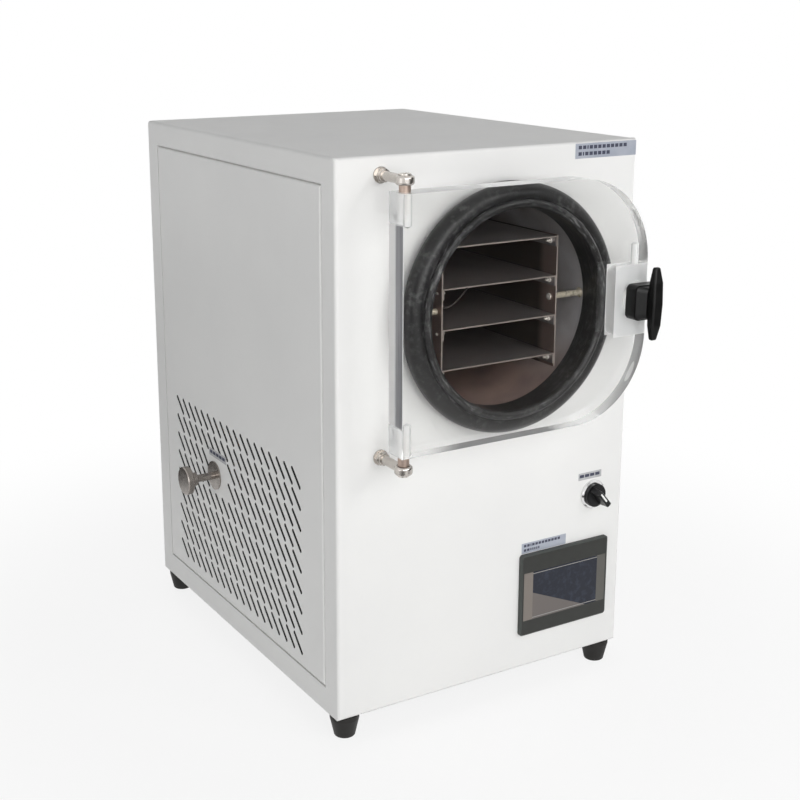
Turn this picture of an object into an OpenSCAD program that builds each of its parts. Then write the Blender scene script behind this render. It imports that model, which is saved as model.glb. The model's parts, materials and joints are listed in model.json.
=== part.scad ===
// Bench freeze dryer: sheet-steel cabinet, horizontal drum chamber behind a clear swinging door,
// shelf rack, refrigeration set, touch panel, pump selector and drain valve.
// Millimetres. +X is to the right, the front faces -Y, +Z is up. The origin is at floor level,
// under the middle of the whole object's box.

/* [Cabinet] */
// Width of the cabinet body
cabinet_w = 400; // [380:5:520]
// Depth of the cabinet body, front face to rear face
cabinet_d = 504; // [480:4:640]
// Height of the cabinet body above its feet
cabinet_h = 630; // [600:5:760]
// Thickness of the sheet steel
sheet_t = 1.5; // [1:0.1:2]
// Outside radius of the folds
fold_r = 4; // [3:0.5:6]
// Depth of the turned edge behind each fold
return_d = 8; // [7:0.5:12]
// Width of the border round each side panel
side_border = 29; // [25:1:36]
// Gap all round each side panel
panel_gap = 2; // [1:0.1:2.5]
// How far each side panel stands proud of its border
panel_proud = 0.6; // [0:0.1:1.2]
// Outside radius of the side panels' folds
panel_fold_r = 2.5; // [2.2:0.1:4]
// Depth of the side panels' folded edges
panel_return = 5; // [4:0.5:8]
// Height of the feet
foot_h = 28; // [20:1:40]
// Radius of the feet where they meet the cabinet
foot_r = 17; // [15:0.5:18]
// Distance from the cabinet's edges to the feet's axes
foot_inset = 18; // [18:1:40]

/* [Side vents] */
// Number of slot columns
slot_cols = 18; // [10:1:20]
// Number of slot rows
slot_rows = 9; // [5:1:11]
// Distance between slot columns
slot_pitch_y = 19.5; // [18:0.1:21]
// Distance between slot rows
slot_pitch_z = 25.4; // [24:0.1:28]
// Length of a slot from end to end
slot_len = 30.5; // [24:0.5:32]
// Width of a slot
slot_w = 4.6; // [3:0.1:5]
// Slope of the slots, rising towards the rear
slot_slope = 45; // [30:1:60]
// Height of the lowest row's centre above the cabinet's bottom
slot_base_z = 57; // [50:0.2:80]
// How far the field of slots lies behind the middle of the cabinet's depth
slot_field_back = 7.5; // [0:0.5:15]

/* [Chamber] */
// Inside radius of the drum
drum_r = 118; // [98:1:122]
// Wall of the drum
drum_t = 2; // [1.5:0.1:3]
// Inside depth of the drum behind the front face
drum_depth = 338; // [280:1:354]
// How far the drum's rim stands out of the front face
rim_out = 21; // [18:0.5:24]
// Drum axis, from the cabinet's left face
drum_x = 205; // [195:1:230]
// Drum axis, below the cabinet's top face
drum_below_top = 174; // [165:1:200]
// Radius of the gasket's fat outer roll
roll_r = 13; // [10:0.5:14]
// Radius of the gasket's inner lip
lip_r = 4.7; // [3.5:0.1:6]
// Thickness of the foam round the drum
foam_t = 16; // [12:1:20]
// Refrigerant tube radius on the drum
coil_r = 4.5; // [3:0.1:5]
// Distance between turns of the refrigerant tube
coil_pitch = 32; // [24:1:44]

/* [Rack] */
// Gap between the rack's lower left corner and the drum's wall
rack_corner_gap = 5; // [3:0.5:14]
// Gap between the rack's rear end and the drum's rear wall
rack_back_gap = 37; // [20:1:90]
// Rack sheet thickness
rack_t = 1.5; // [1:0.1:2]
// Height of the turned ends of a shelf
shelf_flange = 12; // [9:0.5:16]
// Radius of the pins that carry the rack
rack_pin_r = 3.5; // [2.5:0.1:5]

/* [Door] */
// Thickness of the clear door plate
door_t = 28; // [24:1:32]
// Gap between the front face and the door's inner face
door_gap = 34; // [31:0.5:38]
// Corner radius at the door's free edge
door_corner_r = 97; // [60:1:120]
// How far the door reaches past the gasket on the hinge side
hinge_overhang = 21; // [16:0.5:30]
// How far the door reaches past the gasket on the free side
free_overhang = 24; // [22:0.5:34]
// How far the door reaches past the gasket at the top
top_overhang = 1.5; // [-4:0.5:12]
// How far the door reaches past the gasket at the bottom
bottom_overhang = -3.5; // [-4:0.5:12]
// Hinge axis, in from the door's hinge-side edge
hinge_inset = 10; // [9:0.5:14]
// Radius of the hinge bolts
hinge_bolt_r = 5; // [4:0.25:6]
// Depth of the bolt holes in the door's edges
hinge_hole_depth = 34; // [24:1:45]
// Outside radius of the rod ends' eyes
eye_r = 10; // [9:0.5:13]
// Height of the rod ends' eyes
eye_h = 10; // [8:0.5:14]
// Height of the spacer between the upper eye and the door
upper_spacer_h = 7; // [5:0.5:12]
// Height of the spacer between the lower eye and the door
lower_spacer_h = 11.5; // [5:0.5:14]

/* [Clamp] */
// Width of the latch block
latch_w = 45; // [40:1:60]
// Height of the latch block
latch_h = 80; // [70:1:100]
// Clamp axis, in from the door's free edge
clamp_inset = 13; // [12:0.5:16]
// Radius of the clamp stud's plain shank
stud_r = 5.95; // [5:0.05:7]
// Radius at the root of the clamp stud's thread
stud_root_r = 4.9; // [4:0.1:5.5]
// How far the closed stud reaches into the post
stud_grip = 8; // [5:0.5:10]
// Width across the clamp knob's hub
hub_w = 40; // [34:1:44]
// Length of the clamp knob's grip bar
grip_len = 83; // [70:1:100]
// Tilt of the grip bar in the closed position
grip_tilt = 1; // [0:1:90]

/* [Controls] */
// Width of the touch panel's bezel
hmi_w = 131; // [110:1:160]
// Height of the touch panel's bezel
hmi_h = 103; // [90:1:120]
// Touch panel's right edge, in from the cabinet's right face
hmi_from_right = 22.5; // [15:0.5:60]
// Touch panel's lower edge above the cabinet's bottom
hmi_from_bottom = 43.5; // [35:0.5:70]
// How far the bezel stands out
hmi_proud = 6; // [4:0.5:8]
// Width of the display glass
glass_w = 124; // [90:1:150]
// Height of the display glass
glass_h = 61; // [45:1:80]
// Outside radius of the selector's metal ring
ring_r = 17.8; // [17:0.1:20]
// Selector axis, in from the cabinet's right face
selector_from_right = 46; // [30:0.5:70]
// Selector axis above the cabinet's bottom
selector_z = 203.5; // [185:0.5:240]
// Direction of the selector's pointer, anticlockwise from the right as seen from the front
selector_angle = 130; // [90:1:180]
// Height of the selector's grip above the front panel
selector_grip_h = 25; // [18:0.5:28]

/* [Drain valve] */
// Distance from the drum's rear wall forward to the drain and its valve
drain_from_back = 19.4; // [14:0.2:40]
// Valve axis above the cabinet's bottom
valve_z = 194; // [185:1:205]
// Radius of the valve's hand knob
valve_knob_r = 18; // [14:0.5:22]
// Distance from the cabinet's left face to the knob's outer face
valve_reach = 44; // [34:1:55]
// Radius of the valve's stem
valve_stem_r = 4.8; // [3.5:0.1:6]

/* [Rear] */
// Bore radius of the vacuum port
port_bore_r = 12.5; // [8:0.5:20]
// How far the vacuum port stands out of the rear face
port_out = 30; // [22:1:45]

/* [Hidden] */
$fn = 64;

// Clearances: a seat on the same body, a running fit, a moving face and a hole that a piece passes.
seat = 0.1;
running = 0.08;
face_gap = 0.3;
pass = 0.4;
cut = 1; // how far a cutter runs past the face it opens

// Chamber and gasket
drum_z = cabinet_h - drum_below_top;
drum_outer_r = drum_r + drum_t;
gasket_inner_r = drum_r - 5;
roll_y = -(4 + roll_r);
roll_centre_r = drum_outer_r + 7;
gasket_r = roll_centre_r + roll_r;
lip_y = -(door_gap - face_gap - lip_r);
coil_steps = 24;
coil_centre_r = (drum_outer_r + face_gap + coil_r) / cos(180 / coil_steps);
foam_inner_r = coil_centre_r + coil_r + face_gap;
foam_r = foam_inner_r + foam_t;
drum_flange_w = 16;
drum_flange_t = 3;
drum_back_y = drum_depth + drum_t;

// Rack: a box whose lower left corner comes nearest to the drum's wall, four shelves spaced evenly
rack_offset = [-2, -3.5];
rack_reach = (drum_r - rack_corner_gap) / sqrt(2);
rack_w = 2 * (rack_reach + rack_offset[0]);
rack_h = 2 * (rack_reach + rack_offset[1]);
rack_x0 = drum_x + rack_offset[0] - rack_w / 2;
rack_x1 = rack_x0 + rack_w;
rack_z1 = drum_z + rack_offset[1] + rack_h / 2;
rack_z0 = rack_z1 - rack_h;
rack_front_y = 1;
rack_len = drum_depth - rack_front_y - rack_back_gap;
shelf_count = 4;
shelf_top = rack_z1 - 1;
shelf_pitch = (shelf_top - rack_z0 - 4 - shelf_flange) / (shelf_count - 1);
screw_rows = [9, rack_len - 9];
rack_screw_r = 1.5;
pin_rows = [12, rack_len - 20];
pin_z = drum_z + 0.5;

// Door and hinges
door_y0 = -(door_gap + door_t);
door_x0 = drum_x - gasket_r - hinge_overhang;
door_x1 = drum_x + gasket_r + free_overhang;
door_z0 = drum_z - gasket_r - bottom_overhang;
door_z1 = drum_z + gasket_r + top_overhang;
hinge_x = door_x0 + hinge_inset;
hinge_y = -(door_gap + door_t / 2);
eye_z_upper = door_z1 + upper_spacer_h + 2 * seat + eye_h / 2;
eye_z_lower = door_z0 - lower_spacer_h - 2 * seat - eye_h / 2;
eye_round = 3;
race_r = hinge_bolt_r + 1.6;
race_w = 0.8;
race_depth = 0.8;
shank_r = 5.2;
shank_thread_len = 14;
collar_w = 3.5;
hinge_washer_r = 8.8;
hinge_washer_t = 1.8;
hinge_nut_r = 8;
hinge_nut_h = 5;
bolt_head_r = hinge_bolt_r + 1.2;
bolt_head_h = 1.6;
bolt_socket_r = 3;
spacer_wall = 1.2;

// Clamp
clamp_x = door_x1 - clamp_inset;
clamp_z = drum_z;
latch_corner_r = 10;
washer_r = 22;
washer_t = 3.2;
washer_y0 = door_y0 - seat - washer_t;
hub_d = 15;
hub_y0 = washer_y0 - seat - hub_d;
grip_back_y = hub_y0 - 5.5;
grip_front_y = grip_back_y - 12;
post_len = door_gap - 1;
post_r = 10;
post_head_r = 14;
post_head_len = 6;
stud_tip_y = -post_len + stud_grip;
latch_hole_r = stud_r + running;

// Touch panel and selector
hmi_x0 = cabinet_w - hmi_from_right - hmi_w;
hmi_z0 = hmi_from_bottom;
hmi_cut_margin = 5;
hmi_depth = 34;
hmi_chamfer = 1.6;
glass_t = 1.2;
selector_x = cabinet_w - selector_from_right;
selector_hole_r = 11.2;
ring_h = 4.5;
handle_r = 14.3;
handle_face = 9.2;
grip_bar_len = 25.4;
grip_bar_w = 6.6;

// Drain valve
valve_y = drum_depth - drain_from_back;
collar_r = 8.5;
collar_len = 9;
valve_disc_t = 8.5;
escutcheon_r = 18.5;
escutcheon_t = 1.6;
valve_body_len = 34;

// Rear vacuum port
port_tube_r = port_bore_r + 1.5;
port_flange_r = port_bore_r + 7.5;

// The whole object's box, and the shift that puts the origin under its middle
object_x0 = -valve_reach;
object_x1 = cabinet_w + panel_proud;
object_y0 = grip_front_y;
object_y1 = cabinet_d + port_out;
shift_x = -(object_x0 + object_x1) / 2;
shift_y = -(object_y0 + object_y1) / 2;

steel_white = [0.93, 0.93, 0.92];
stainless = [0.72, 0.71, 0.70];
rubber_black = [0.10, 0.10, 0.10];
clear_acrylic = [0.86, 0.92, 0.92, 0.35];

// ---------------------------------------------------------------- helpers

// Places what is drawn from the cabinet's lower front left corner into the object's own frame.
module in_cabinet() translate([shift_x, shift_y, foot_h]) children();

module rod_x(p, len, r) translate(p) rotate([0, 90, 0]) cylinder(h = len, r = r);
module rod_y(p, len, r) translate(p) rotate([-90, 0, 0]) cylinder(h = len, r = r);
module rod_z(p, len, r) translate(p) cylinder(h = len, r = r);

// Turns a profile drawn as (radius, y) about an axis that runs along Y through p.
module turn_y(p) translate(p) rotate([-90, 0, 0]) rotate_extrude($fn = 128) children();

// A rectangle with round corners, its lower left corner at the origin.
module round_rect(w, h, r) {
    translate([r, 0]) square([w - 2 * r, h]);
    translate([0, r]) square([w, h - 2 * r]);
    for (x = [r, w - r], y = [r, h - r]) translate([x, y]) circle(r);
}

// A plate in the XZ plane, from y to y + t.
module plate_xz(y, t) translate([0, y + t, 0]) rotate([90, 0, 0]) linear_extrude(t) children();

// A plate in the YZ plane, from x to x + t, drawn as (y, z).
module plate_yz(x, t) translate([x, 0, 0]) rotate([90, 0, 90]) linear_extrude(t) children();

// A straight tube between two points.
module tube_between(p, q, r) {
    d = q - p;
    len = norm(d);
    translate(p) rotate([0, acos(d[2] / len), atan2(d[1], d[0])]) cylinder(h = len, r = r);
}

// A tube along points whose runs meet at right angles, with round bends.
module bent_tube(points, r, bend) {
    last = len(points) - 1;
    function unit(i) = (points[i + 1] - points[i]) / norm(points[i + 1] - points[i]);
    for (i = [0:last - 1]) {
        from = points[i] + (i == 0 ? 0 : bend) * unit(i);
        to = points[i + 1] - (i == last - 1 ? 0 : bend) * unit(i);
        tube_between(from, to, r);
    }
    for (i = [1:last - 1]) {
        u = unit(i - 1);
        v = unit(i);
        n = cross(u, v);
        c = points[i] - bend * u + bend * v;
        multmatrix([
            [-v[0], u[0], n[0], c[0]],
            [-v[1], u[1], n[1], c[1]],
            [-v[2], u[2], n[2], c[2]],
            [0, 0, 0, 1]
        ]) rotate_extrude(angle = 90) translate([bend, 0]) circle(r);
    }
}

// A round tube swept along any list of points: rings of `sides` corners joined by quads.
module swept_tube(path, r, sides) {
    last = len(path) - 1;
    function along(i) = path[min(i + 1, last)] - path[max(i - 1, 0)];
    function unit(v) = v / norm(v);
    function side(i) = unit(cross(along(i), [0.02, 0.03, 1]));
    function ring(i) = let (s = side(i), t = unit(cross(s, along(i))))
        [for (k = [0:sides - 1]) path[i] + r * (cos(360 * k / sides) * s + sin(360 * k / sides) * t)];
    points = [for (i = [0:last]) each ring(i)];
    walls = [for (i = [0:last - 1], k = [0:sides - 1]) each
        let (a = i * sides + k, b = i * sides + (k + 1) % sides)
            [[a, b, b + sides], [a, b + sides, a + sides]]];
    first_cap = [[for (k = [0:sides - 1]) sides - 1 - k]];
    last_cap = [[for (k = [0:sides - 1]) last * sides + k]];
    polyhedron(points, concat(walls, first_cap, last_cap));
}

// ---------------------------------------------------------------- cabinet

// Section of a sheet folded back along both of its edges, the outer face along the first axis.
module folded_edge(len, depth, inset, outer_r = fold_r) {
    r = outer_r - inset;
    translate([inset, inset + r]) square([len - 2 * inset, depth - inset - r]);
    translate([inset + r, inset]) square([len - 2 * (inset + r), depth - inset]);
    for (x = [inset + r, len - inset - r]) translate([x, inset + r]) circle(r);
}

// The front panel's outer form, or its hollow when inset by the sheet.
module front_block(depth, inset) intersection() {
    linear_extrude(cabinet_h) folded_edge(cabinet_w, depth, inset);
    translate([cabinet_w, 0, 0]) rotate([0, -90, 0]) linear_extrude(cabinet_w)
        folded_edge(cabinet_h, depth, inset);
}

module front_panel() in_cabinet() color(steel_white) difference() {
    front_block(return_d, 0);
    front_block(return_d + cut, sheet_t);
    rod_y([drum_x, -cut, drum_z], 3 * cut + sheet_t, drum_outer_r + pass);
    rod_y([selector_x, -cut, selector_z], 3 * cut + sheet_t, selector_hole_r);
    rod_y([clamp_x, -cut, clamp_z], 3 * cut + sheet_t, stud_root_r + seat);
    for (z = [eye_z_upper, eye_z_lower]) rod_y([hinge_x, -cut, z], 3 * cut + sheet_t, shank_r + seat);
    translate([hmi_x0 + hmi_cut_margin, -cut, hmi_z0 + hmi_cut_margin])
        cube([hmi_w - 2 * hmi_cut_margin, 3 * cut + sheet_t, hmi_h - 2 * hmi_cut_margin]);
}

module top_panel() in_cabinet() color(steel_white)
    plate_xz(return_d, cabinet_d - return_d) translate([0, cabinet_h]) mirror([0, 1]) difference() {
        folded_edge(cabinet_w, return_d, 0);
        folded_edge(cabinet_w, return_d + cut, sheet_t);
    }

// Side frame: border sheet with a joggled lip that the side panel's folded edges rest on, and a flange
// for the rear panel.
lip_x = panel_return - panel_proud + seat;
lip_w = 10;
rear_flange_w = 14;

module side_frame() {
    module window(grow) translate([side_border - grow, side_border - grow])
        square([cabinet_d - 2 * side_border + 2 * grow, cabinet_h - 2 * side_border + 2 * grow]);
    plate_yz(0, sheet_t) difference() {
        translate([return_d, 0]) square([cabinet_d - return_d, cabinet_h - return_d]);
        window(0);
    }
    plate_yz(0, lip_x + sheet_t) difference() {
        window(sheet_t);
        window(0);
    }
    plate_yz(lip_x, sheet_t) difference() {
        window(sheet_t);
        window(-lip_w);
    }
    difference() {
        translate([sheet_t, cabinet_d - 2 * sheet_t, side_border])
            cube([rear_flange_w, sheet_t, cabinet_h - 2 * side_border]);
        for (z = rear_screw_z) rod_y([rear_screw_x[0], cabinet_d - 2 * sheet_t - cut, z], sheet_t + 2 * cut,
            rear_screw_r + seat);
    }
}

module left_frame() in_cabinet() color(steel_white) side_frame();
module right_frame() in_cabinet() color(steel_white) translate([cabinet_w, 0, 0]) mirror([1, 0, 0])
    side_frame();

// One slot, its centre at the origin.
module slot() rotate(slot_slope) {
    square([slot_len - slot_w, slot_w], center = true);
    for (s = [-1, 1]) translate([s * (slot_len - slot_w) / 2, 0]) circle(slot_w / 2);
}

// The blank patch round the valve: slots whose centres fall in it are left out.
blank_y = [valve_y - 36, valve_y + 12];
blank_z = [valve_z - 18, valve_z + 22];
function in_blank(y, z) = y > blank_y[0] && y < blank_y[1] && z > blank_z[0] && z < blank_z[1];

// Slots in columns and rows as (y, z); the panel with the valve keeps a blank patch and a hole for its
// stem.
module side_panel_holes(has_valve) {
    slot_y0 = cabinet_d / 2 + slot_field_back - (slot_cols - 1) / 2 * slot_pitch_y;
    for (c = [0:slot_cols - 1], r = [0:slot_rows - 1]) {
        y = slot_y0 + c * slot_pitch_y;
        z = slot_base_z + r * slot_pitch_z;
        if (!(has_valve && in_blank(y, z))) translate([y, z]) slot();
    }
    if (has_valve) translate([valve_y, valve_z]) circle(valve_stem_r + pass);
}

// The side panel's outer form, or its hollow when inset by the sheet.
panel_margin = side_border + panel_gap;
module side_panel_block(depth, inset) {
    w = cabinet_d - 2 * panel_margin;
    h = cabinet_h - 2 * panel_margin;
    translate([-panel_proud, panel_margin, panel_margin]) intersection() {
        linear_extrude(h) mirror([1, -1, 0]) folded_edge(w, depth, inset, panel_fold_r);
        multmatrix([[0, 1, 0, 0], [0, 0, 1, 0], [1, 0, 0, 0], [0, 0, 0, 1]]) linear_extrude(w)
            folded_edge(h, depth, inset, panel_fold_r);
    }
}

// Side panel: a shallow tray with its four edges folded in, and the field of slots in its face.
module side_panel(has_valve) difference() {
    side_panel_block(panel_return, 0);
    side_panel_block(panel_return + cut, sheet_t);
    plate_yz(-panel_proud - cut, sheet_t + 2 * cut) side_panel_holes(has_valve);
}

module left_panel() in_cabinet() color(steel_white) side_panel(true);
module right_panel() in_cabinet() color(steel_white) translate([cabinet_w, 0, 0]) mirror([1, 0, 0])
    side_panel(false);

base_t = 2;
foot_points = [for (x = [foot_inset, cabinet_w - foot_inset], y = [foot_inset, cabinet_d - foot_inset])
    [x, y]];
foot_screw_r = 4;

module base_plate() in_cabinet() color([0.78, 0.78, 0.77]) difference() {
    translate([sheet_t, return_d, 0]) cube([cabinet_w - 2 * sheet_t, cabinet_d - return_d, base_t]);
    for (p = foot_points) rod_z([p[0], p[1], -cut], base_t + 2 * cut, foot_screw_r + seat);
    for (p = compressor_feet) rod_z([p[0], p[1], -cut], base_t + 2 * cut, 4 + seat);
}

// Rear panel: exhaust slots low down, holes for the port and the inlet, screws into the side frames.
rear_screw_z = [side_border + 20, cabinet_h / 2, cabinet_h - side_border - 20];
rear_screw_x = [sheet_t + 8, cabinet_w - sheet_t - 8];
inlet_x = 70;
inlet_z = 60;
inlet_w = 28;
inlet_h = 48;
rear_screw_r = 2;
exhaust_x = cabinet_w / 2 + 20;
exhaust_rows = 10;
exhaust_len = 64;
exhaust_pitch = 16;
exhaust_z0 = 70;

inner_w = cabinet_w - 2 * sheet_t;
inner_h = cabinet_h - sheet_t - base_t;
inner_r = fold_r - sheet_t;

module rear_panel() in_cabinet() color(steel_white) plate_xz(cabinet_d - sheet_t, sheet_t) difference() {
    union() {
        translate([sheet_t, base_t]) square([inner_w, inner_h - inner_r]);
        translate([sheet_t + inner_r, base_t]) square([inner_w - 2 * inner_r, inner_h]);
        for (x = [inner_r, inner_w - inner_r]) translate([sheet_t + x, base_t + inner_h - inner_r])
            circle(inner_r);
    }
    translate([drum_x, drum_z]) circle(port_tube_r + pass);
    translate([inlet_x - inlet_w / 2, inlet_z - inlet_h / 2]) square([inlet_w, inlet_h]);
    for (x = rear_screw_x, z = rear_screw_z) translate([x, z]) circle(rear_screw_r + 2 * seat);
    for (i = [0:exhaust_rows - 1], side = [-1, 1])
        translate([exhaust_x + side * (exhaust_len / 2 + 6), exhaust_z0 + i * exhaust_pitch]) {
            square([exhaust_len - slot_w, slot_w], center = true);
            for (s = [-1, 1]) translate([s * (exhaust_len - slot_w) / 2, 0]) circle(slot_w / 2);
        }
}

module rear_screws() in_cabinet() color(stainless) for (x = rear_screw_x, z = rear_screw_z) {
    rod_y([x, cabinet_d - 9, z], 9, rear_screw_r);
    rod_y([x, cabinet_d, z], 2.2, 1.9 * rear_screw_r);
}

// Round rubber feet, tapered to a round toe, with a pocket for the screw's head.
foot_pocket_h = 9;
foot_pocket_r = 6.2;
foot_toe_r = foot_r - 4.5;
foot_toe_round = 2.5;
foot_toe_x = foot_toe_r - foot_toe_round;
foot_rim_h = 6;
foot_nut_h = 6;
foot_nut_r = 7.5;

module feet() color(rubber_black) for (p = foot_points) translate([shift_x + p[0], shift_y + p[1], 0])
    rotate_extrude() difference() {
        union() {
            polygon([[0, 0], [foot_toe_x, 0], [foot_toe_x, foot_toe_round], [foot_toe_r, foot_toe_round],
                [foot_r, foot_h - foot_rim_h], [foot_r, foot_h - 1], [foot_r - 1, foot_h], [0, foot_h]]);
            translate([foot_toe_x, foot_toe_round]) circle(foot_toe_round);
        }
        square([foot_pocket_r, foot_pocket_h]);
        square([foot_screw_r + seat, foot_h]);
    }

module foot_screws() color(stainless) for (p = foot_points)
    translate([shift_x + p[0], shift_y + p[1], 0]) {
        rod_z([0, 0, foot_pocket_h - 6], 6, foot_pocket_r - 0.7);
        rod_z([0, 0, foot_pocket_h], foot_h - foot_pocket_h + base_t + foot_nut_h + 3, foot_screw_r);
        translate([0, 0, foot_h + base_t + seat]) cylinder(h = foot_nut_h, r = foot_nut_r, $fn = 6);
    }

// ---------------------------------------------------------------- chamber

// Drum with its weld flange behind the front panel and a hole for the vacuum tube in its rear wall.
module chamber_drum() in_cabinet() color([0.34, 0.27, 0.24]) turn_y([drum_x, 0, drum_z]) difference() {
    union() {
        translate([drum_r, -rim_out]) square([drum_t, drum_back_y + rim_out]);
        translate([port_tube_r + seat, drum_depth]) square([drum_outer_r - port_tube_r - seat, drum_t]);
        translate([drum_r, sheet_t]) square([drum_t + drum_flange_w, drum_flange_t]);
    }
}

// Black rubber ring pushed over the drum's rim: fat outer roll, groove and a sealing lip.
module drum_gasket() in_cabinet() color(rubber_black) turn_y([drum_x, 0, drum_z]) difference() {
    union() {
        translate([gasket_inner_r, -rim_out - 3]) square([roll_centre_r + 4 - gasket_inner_r, rim_out + 3]);
        translate([roll_centre_r, roll_y]) circle(roll_r);
        translate([gasket_inner_r + lip_r, lip_y]) circle(lip_r);
        translate([gasket_inner_r, lip_y]) square([1.7 * lip_r, -lip_y - rim_out + 3]);
    }
    translate([drum_r - seat, -rim_out - seat]) square([drum_t + 2 * seat, rim_out + 2 * seat + cut]);
    translate([gasket_inner_r - cut, 0]) square([gasket_r, gasket_r]);
}

coil_y0 = 24;
coil_turns = floor((drum_back_y - coil_y0 - 2 * coil_r) / coil_pitch);

module evaporator_coil() in_cabinet() color([0.72, 0.42, 0.25])
    swept_tube([for (i = [0:coil_turns * coil_steps]) let (a = 360 * i / coil_steps)
        [drum_x + coil_centre_r * cos(a), coil_y0 + coil_pitch * i / coil_steps,
            drum_z + coil_centre_r * sin(a)]], coil_r, 6);

// Foam cup round the drum and coil, open for the vacuum tube and the drain.
foam_y0 = 14;
module drum_insulation() in_cabinet() color([0.16, 0.16, 0.16]) difference() {
    turn_y([drum_x, 0, drum_z]) {
        translate([foam_inner_r, foam_y0]) square([foam_t, drum_back_y + foam_t - foam_y0]);
        translate([port_tube_r + seat, drum_back_y + seat])
            square([foam_inner_r - port_tube_r, foam_t - seat]);
    }
    rod_z([drain_x, valve_y, drum_z - foam_r - cut], foam_t + 2 * cut, drain_r + pass);
}

// Deck across the cabinet with two saddles that carry the insulated drum.
deck_t = 2;
deck_x0 = lip_x + sheet_t + seat;
deck_z = drum_z - foam_r - 22;
saddle_t = 4;
module drum_deck() in_cabinet() color([0.70, 0.70, 0.69]) difference() {
    union() {
        translate([deck_x0, return_d + seat, deck_z])
            cube([cabinet_w - 2 * deck_x0, cabinet_d - return_d - 2 * sheet_t - 2 * seat, deck_t]);
        for (y = [70, drum_back_y - 50]) plate_xz(y, saddle_t) difference() {
            translate([drum_x - 90, deck_z]) square([180, 70]);
            translate([drum_x, drum_z]) circle(foam_r + pass, $fn = 128);
        }
    }
    rod_z([drain_x, valve_y, deck_z - cut], deck_t + 2 * cut, drain_r + 2);
    rod_z([suction_x, suction_y, deck_z - cut], deck_t + 2 * cut, coil_r + 2);
    rod_z([liquid_x, liquid_y, deck_z - cut], deck_t + 2 * cut, 4);
}

// ---------------------------------------------------------------- rack

function shelf_z(i) = shelf_top - (i - 1) * shelf_pitch;

module rack_side(x) difference() {
    translate([x, rack_front_y, rack_z0]) cube([rack_t, rack_len, rack_h]);
    for (i = [1:shelf_count], y = screw_rows)
        rod_x([x - cut, rack_front_y + y, shelf_z(i) - shelf_flange / 2], rack_t + 2 * cut,
            rack_screw_r + seat);
    for (y = pin_rows) rod_x([x - cut, y, pin_z], rack_t + 2 * cut, 2 + seat);
}

module rack_side_left() in_cabinet() color(stainless) rack_side(rack_x0);
module rack_side_right() in_cabinet() color(stainless) rack_side(rack_x1 - rack_t);

// Shelf: flat sheet with its two ends turned down against the side plates.
module shelf(i) in_cabinet() color(stainless) {
    x0 = rack_x0 + rack_t + seat;
    x1 = rack_x1 - rack_t - seat;
    difference() {
        union() {
            translate([x0, rack_front_y, shelf_z(i) - rack_t]) cube([x1 - x0, rack_len, rack_t]);
            for (x = [x0, x1 - rack_t]) translate([x, rack_front_y, shelf_z(i) - shelf_flange])
                cube([rack_t, rack_len, shelf_flange]);
        }
        for (y = screw_rows, x = [x0, x1 - rack_t])
            rod_x([x - cut, rack_front_y + y, shelf_z(i) - shelf_flange / 2], rack_t + 2 * cut,
                rack_screw_r + seat);
    }
}

module shelf_1() shelf(1);
module shelf_2() shelf(2);
module shelf_3() shelf(3);
module shelf_4() shelf(4);

// Pan-head screws, heads inside the rack.
module rack_screws() in_cabinet() color(stainless) {
    head_h = 1.8;
    inner = 2 * rack_t + seat;
    for (i = [1:shelf_count], y = screw_rows) {
        z = shelf_z(i) - shelf_flange / 2;
        translate([rack_x0 + inner, rack_front_y + y, z]) {
            rod_x([seat, 0, 0], head_h, 2.8);
            rod_x([-inner - 1, 0, 0], inner + 1 + seat, rack_screw_r);
        }
        translate([rack_x1 - inner, rack_front_y + y, z]) {
            rod_x([-seat - head_h, 0, 0], head_h, 2.8);
            rod_x([-seat, 0, 0], inner + 1 + seat, rack_screw_r);
        }
    }
    for (y = pin_rows) {
        rod_x([rack_x0 + rack_t + seat, y, pin_z], head_h, 3.6);
        rod_x([rack_x0 - 8, y, pin_z], rack_t + 8 + seat, 2);
        rod_x([rack_x1 - rack_t - seat - head_h, y, pin_z], head_h, 3.6);
        rod_x([rack_x1 - rack_t - seat, y, pin_z], rack_t + 8 + seat, 2);
    }
}

// Pins welded to the drum's wall; the rack is screwed to their tapped ends.
module rack_pin(len) difference() {
    union() {
        cylinder(h = len, r = rack_pin_r);
        translate([0, 0, len - 3]) cylinder(h = 3, r1 = rack_pin_r, r2 = 6);
    }
    translate([0, 0, -cut]) cylinder(h = 8.5 + cut, r = 2 + seat);
}

module rack_pins() in_cabinet() color(stainless) {
    reach = sqrt(drum_r * drum_r - 9 * 9) - face_gap;
    for (y = pin_rows) {
        translate([rack_x1 + seat, y, pin_z]) rotate([0, 90, 0]) rack_pin(drum_x + reach - rack_x1 - seat);
        translate([rack_x0 - seat, y, pin_z]) rotate([0, -90, 0]) rack_pin(rack_x0 - seat - drum_x + reach);
    }
}

// Thin heating mats under the shelves.
module shelf_heaters() in_cabinet() color([0.55, 0.25, 0.12]) for (i = [1:shelf_count])
    translate([rack_x0 + 12, rack_front_y + 12, shelf_z(i) - rack_t - seat - 1.2])
        cube([rack_w - 24, rack_len - 24, 1.2]);

// Probe lead: a slack loop from the left side plate to the underside of the second shelf.
module probe_lead() in_cabinet() color([0.25, 0.22, 0.20]) {
    span = 40;
    drop = shelf_pitch / 4;
    top = shelf_z(2) - shelf_flange - 4;
    swept_tube([for (i = [0:20]) let (t = i / 20)
        [rack_x0 + rack_t + 0.5 + span * t, 12 + 6 * sin(180 * t),
            top - drop * sin(180 * t) + (shelf_flange + 4 - rack_t - 1.5) * t * t]], 1, 8);
}

// ---------------------------------------------------------------- refrigeration

compressor_x = 245;
compressor_y = cabinet_d - 99;
compressor_r = 72;
compressor_feet = [for (sx = [-1, 1], sy = [-1, 1]) [compressor_x + sx * 76, compressor_y + sy * 55]];
grommet_h = 16;

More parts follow.
